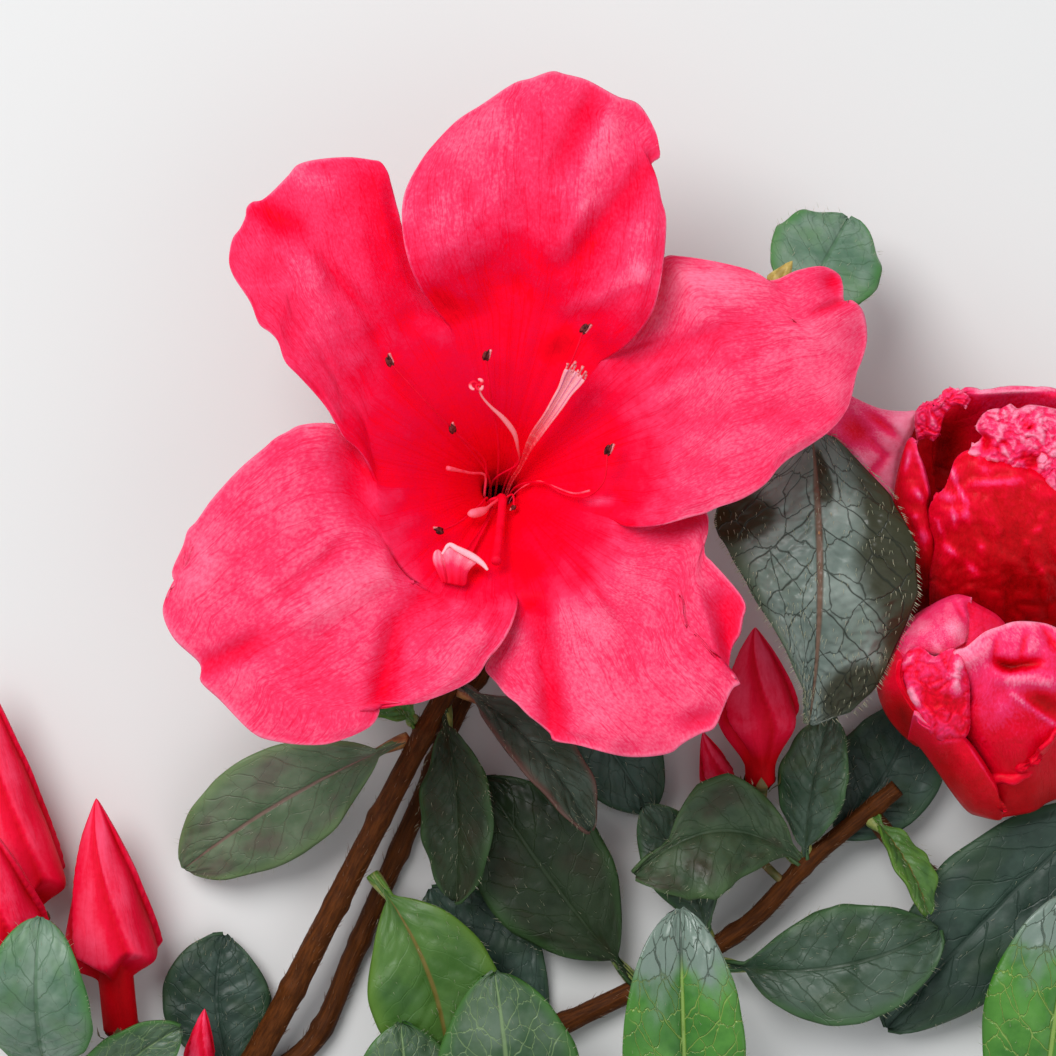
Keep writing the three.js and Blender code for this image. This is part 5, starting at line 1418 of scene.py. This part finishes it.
def bud(name, foot, base, tip, width, tube, shoulder):
    low, high = seen(base), seen(tip)
    axis = unit(high - low)
    first, second = cross_directions(axis)
    widest = tube + shoulder
    seed = seed_of(name, 0.31)

    def place(u, v):
        turn = np.pi * u
        foot_round = np.sqrt(np.clip(v / 0.05, 0, 1))
        # Five petals lie over each other like the leaves of a screw, each with one free edge
        turns = (turn + 1.3 * v) * PETALS / (2 * np.pi)
        lap = turns - np.floor(turns)
        skirt = tube + 0.03 * np.cos(2 * np.pi * lap)
        neck = BUD_TUBE + (1 - BUD_TUBE) * smooth(skirt, skirt + shoulder, v)
        taper = (1 - np.clip((v - widest) / (1 - widest), 0, 1) ** 1.25) ** 0.78
        free = smooth(0.0, 0.07, lap) * (1 - 0.85 * lap)
        over = 0.2 * free * smooth(skirt, widest, v) * smooth(1.0, 0.85, v)
        skin = np.stack([np.cos(turn) * 2, np.sin(turn) * 2, v * 9], -1)
        soft = grain(skin, 1.6, seed)
        radius = width / 2 * foot_round * taper * neck * (0.9 + over + 0.06 * soft * smooth(0.1, 0.4, v))
        radius = np.where(v >= 1, 0, radius)
        way = low + (high - low) * v[:, None]
        places = way + first * (np.cos(turn) * radius)[:, None] + second * (np.sin(turn) * radius)[:, None]
        # Tone: painted shade just past each free edge and where the next petal laps over, painted light on
        # the upper side, and paler towards the tip.
        opened = smooth(skirt, widest, v)
        tone = 0.36 + (0.34 - 0.3 * smooth(0.5, 1, lap) - 0.25 * smooth(0.06, 0, lap)) * opened
        facing = 0.14 * smooth(0.5, 1, np.sin(turn)) * opened
        return places, tone + facing + 0.12 * soft + 0.08 * smooth(0.5, 1, v)

    bm = bent_grid(*(SMALL_BUD_GRID if width < 6 else BUD_GRID), place)
    stalk = stalk_line(seen(foot), low + axis * 0.6, axis)
    round_rod(stalk, widening(0.5, 0.4, 0.8, 1), 14, bm, 1)
    for n in range(PETALS):
        sepal(bm, low, axis, first, second, 2 * math.pi * n / PETALS + 0.3, width / 2 * BUD_TUBE + 0.2, 1)
    skin = scale_skin if name == "bud_rear" else bud_skin
    piece(name + "_petals", bm, [skin, stalk_skin], [name])


def sepal(bm, foot, axis, first, second, turn, out, finish, length=2.2):
    """One narrow pointed lobe of the calyx, lying on the tube."""

    def place(u, v):
        angle = turn + u * 0.45 * (1 - v ** 1.5)
        radius = out * (0.45 + 0.62 * smooth(0, 0.5, v)) + 0.12
        way = foot + axis * (v * length - 0.2)[:, None]
        return way + (first * np.cos(angle)[:, None] + second * np.sin(angle)[:, None]) * radius[:, None]

    bent_grid(6, 8, place, bm, finish)


def flower_stalk():
    foot, axis, first, second = tube_axes()
    line = stalk_line(seen(STALK_FOOT), foot - axis * 0.3, axis, 40)
    bm = round_rod(line, widening(0.95, 0.55, 0.75, 1), 18)
    for n in range(PETALS):
        sepal(bm, foot, axis, first, second, 2 * math.pi * n / PETALS, 2.6, 0, 3.6)
    for _ in range(STALK_HAIRS):
        at = random.randrange(len(line))
        out = unit(np.array([random.uniform(-1, 1) for _ in range(3)]))
        hair(bm, line[at] + out * 0.8, unit(out + axis * 0.6), random.uniform(0.6, 1.2), 0.04)
    piece("bloom_stalk_green", bm, [stalk_skin], ["bloom_stalk"])


# The double blooms at the right
def cupped(bloom, azimuth, half, start, end, number):
    axis = unit(bloom["facing"])
    first, second = cross_directions(axis)
    centre = seen(bloom["middle"])

    def place(u, v):
        width = half * (0.55 + 0.45 * smooth(0, 0.4, v)) * np.sqrt(1 - 0.8 * v ** 8)
        polar = np.radians(start + (end - 14 * u * u - start) * v)
        turn = np.radians(azimuth + u * width)
        distance = bloom["radius"] + PETAL_SPIRAL * (u + 1) / 2
        ball = np.stack([np.sin(polar) * np.cos(turn), np.sin(polar) * np.sin(turn), -np.cos(polar)], -1)
        wave = 0.55 * grain(ball * 10, 4.5, number * 3.1) + 0.22 * grain(ball * 10, 1.6, number)
        rim = np.maximum(smooth(0.82, 1, v), smooth(0.86, 1, np.abs(u)) * smooth(0.3, 0.6, v))
        wave = wave + rim * (0.5 * grain(ball * 10, 1.9, number + 6.0) + 0.25)
        distance = distance + wave * smooth(0.1, 0.4, v)
        local = ball * distance[:, None]
        places = centre + first * local[:, :1] + second * local[:, 1:2] + axis * local[:, 2:]
        # Tone darker towards the base as painted shade and paler where the petal bulges out as painted
        # highlight.
        return places, 0.36 + 0.2 * v + 0.12 * wave

    return place


def front_sheet(sheet, number):
    """One petal of the double bloom's front."""
    spread = sheet_spread(sheet["outline"], sheet["corners"])
    high, size, painted_crumple_light = sheet["crumple"]

    def place(u, v):
        t = (u + 1) / 2
        at = spread(t, v)
        x, y = at[:, 0], at[:, 1]
        flat = np.stack([x, y, np.full_like(x, 3.0 * number)], -1)
        fold, painted_light = folded(x, y, sheet["folds"])
        bent = flat + 0.8 * size * np.stack([grain(flat, 1.7 * size, seed) for seed in (5.0, 7.0, 9.0)], -1)
        large = np.minimum(2.4 * np.abs(grain(bent, 1.5 * size, 2.0)), 1)
        small = np.minimum(2.8 * np.abs(grain(bent, 0.7 * size, 4.0)), 1)
        billow = 0.62 * large + 0.38 * small - 0.5 + 0.2 * grain(flat, 0.3 * size, 6.0)
        rim = np.maximum(smooth(0.8, 1, np.abs(u)), smooth(0.8, 1, np.abs(2 * v - 1)))
        z = from_corners(sheet["heights"], t, v) + sheet["puff"] * (1 - u * u) * (1 - (2 * v - 1) ** 2)
        z = z + fold + high * billow - 0.7 * rim ** 2 + 0.25 * grain(flat, 3.0, 8.0)
        # Tone: the corner tones with the folds' painted highlight and shade, crumple crests paler and creases
        # darker as painted light, and a pale rim.
        tone = from_corners(sheet["tones"], t, v) + painted_light
        tone = tone + painted_crumple_light * (billow - 0.1) + 0.05 * grain(flat, 2.0, 4.0)
        edge = np.maximum(smooth(0.96, 1, np.abs(u)), smooth(0.97, 1, v))
        return seen(np.stack([x, y, z], -1)), np.clip(tone + 0.12 * edge, 0.01, 1)

    return place


def crinkled_core(bloom, seed):
    """A ball of petals crumpled into each other: folded ridges with deep creases between them."""
    bm = bmesh.new()
    bm.loops.layers.uv.new("UVMap")
    tones = bm.verts.layers.float.new("tone")
    bmesh.ops.create_icosphere(bm, subdivisions=6, radius=1, calc_uvs=True)
    centre = Vector(seen(bloom["middle"]) - CORE_LOWERED * unit(bloom["facing"]))
    drift = Vector((seed, 2 * seed, -seed))
    for vert in bm.verts:
        at = vert.co.normalized()
        warp = noise.noise_vector(at * 2.1 + drift) * 0.42
        near = at + warp
        ridge = 1 - abs(noise.noise(near * 2.6 / bloom["pitch"] * 0.42 + drift)) * 2.4
        knob = 1 - abs(noise.noise(near * 6.4 / bloom["pitch"] * 0.42 - drift)) * 2.2
        fine = noise.noise(near * 15 + drift)
        high = bloom["crinkle"] * (0.75 * ridge + 0.32 * knob + 0.07 * fine - 0.55)
        vert.co = centre + at * (bloom["core"] + high)
        # Tone follows the height: painted highlight on the ridges, painted shade in the creases.
        vert[tones] = 0.4 + 0.3 * (high / bloom["crinkle"])
    return bm


def double_blooms():
    for number, (name, bloom) in enumerate(DOUBLES.items()):
        bm = crinkled_core(bloom, 1.7 + 2.3 * number)
        piece(name + "_core", bm, [double_petal], [bloom["node"]])
        bm = bmesh.new()
        for index, shape in enumerate(bloom["petals"]):
            bent_grid(46, 50, cupped(bloom, *shape, index + 4 * number), bm)
        piece(name + "_bowl", bm, [double_petal], [bloom["node"]], thick=DOUBLE_THICK)
        bm = bmesh.new()
        for index, row in enumerate(SHEETS[name].values()):
            sheet = {**PLAIN_SHEET, **row}
            count = CRUMPLED_GRID if sheet["crumple"][0] > 0.5 else SMOOTH_GRID
            bent_grid(count, count, front_sheet(sheet, index + 9 * number), bm)
        piece(name + "_petals", bm, [double_petal], [bloom["node"]], thick=DOUBLE_THICK)
        axis = unit(bloom["facing"])
        base = seen(bloom["middle"]) - axis * (bloom["radius"] - 1.5)
        stalk = stalk_line(seen(bloom["foot"]), base, axis, 40)
        bm = round_rod(stalk, widening(0.9, 0.9, 0.6, 1), 18)
        seat = base + axis * np.linspace(-5, 0.4, 16)[:, None]
        round_rod(seat, widening(2, 3.4, 0, 1), 28, bm)
        piece(name + "_stalk", bm, [stalk_skin])


# Surroundings
def surroundings():
    bm = bmesh.new()
    bmesh.ops.create_grid(bm, x_segments=1, y_segments=1, size=1.5)
    material, _, shader = new_finish("pale_floor", 0.8, Specular_IOR_Level=0.2)
    shader.inputs["Base Color"].default_value = (0.66, 0.66, 0.65, 1)
    add_object("floor", mesh_of("floor", bm, [material]))


def lights():
    world = bpy.data.worlds.new("studio")
    world.use_nodes = True
    background = world.node_tree.nodes["Background"]
    background.inputs["Color"].default_value = (0.93, 0.96, 1, 1)
    background.inputs["Strength"].default_value = 0.6
    bpy.context.scene.world = world
    for name, place, size, power in (
        ("key", (-0.34, 0.42, 0.75), 0.6, 7.0),
        ("fill", (0.5, -0.3, 0.7), 0.9, 1.0),
    ):
        data = bpy.data.lights.new(name, "AREA")
        data.shape = "DISK"
        data.size = size
        data.energy = power
        lamp = add_object(name, data)
        lamp.location = place
        lamp.rotation_euler = (-Vector(place)).to_track_quat("-Z", "Y").to_euler()


def camera():
    data = bpy.data.cameras.new("camera")
    data.sensor_width = SENSOR
    data.lens = SENSOR * EYE_ABOVE / (PHOTO_WIDE * MM_PER_PIXEL)
    data.clip_start = 0.01
    eye = add_object("camera", data)
    eye.location = TO_FRAME @ Vector((0, 0, FACE_PLANE + EYE_ABOVE))
    bpy.context.scene.camera = eye


camera()
lights()
surroundings()
bpy.context.scene.view_settings.view_transform = "Standard"
corolla()
stamens()
striped_petaloid()
curled_petaloid()
pale_stamen()
wood()
leaf_ribs_and_hairs()
stem_hairs()
for bud_name, bud_row in BUDS.items():
    bud(bud_name, *bud_row)
flower_stalk()
double_blooms()
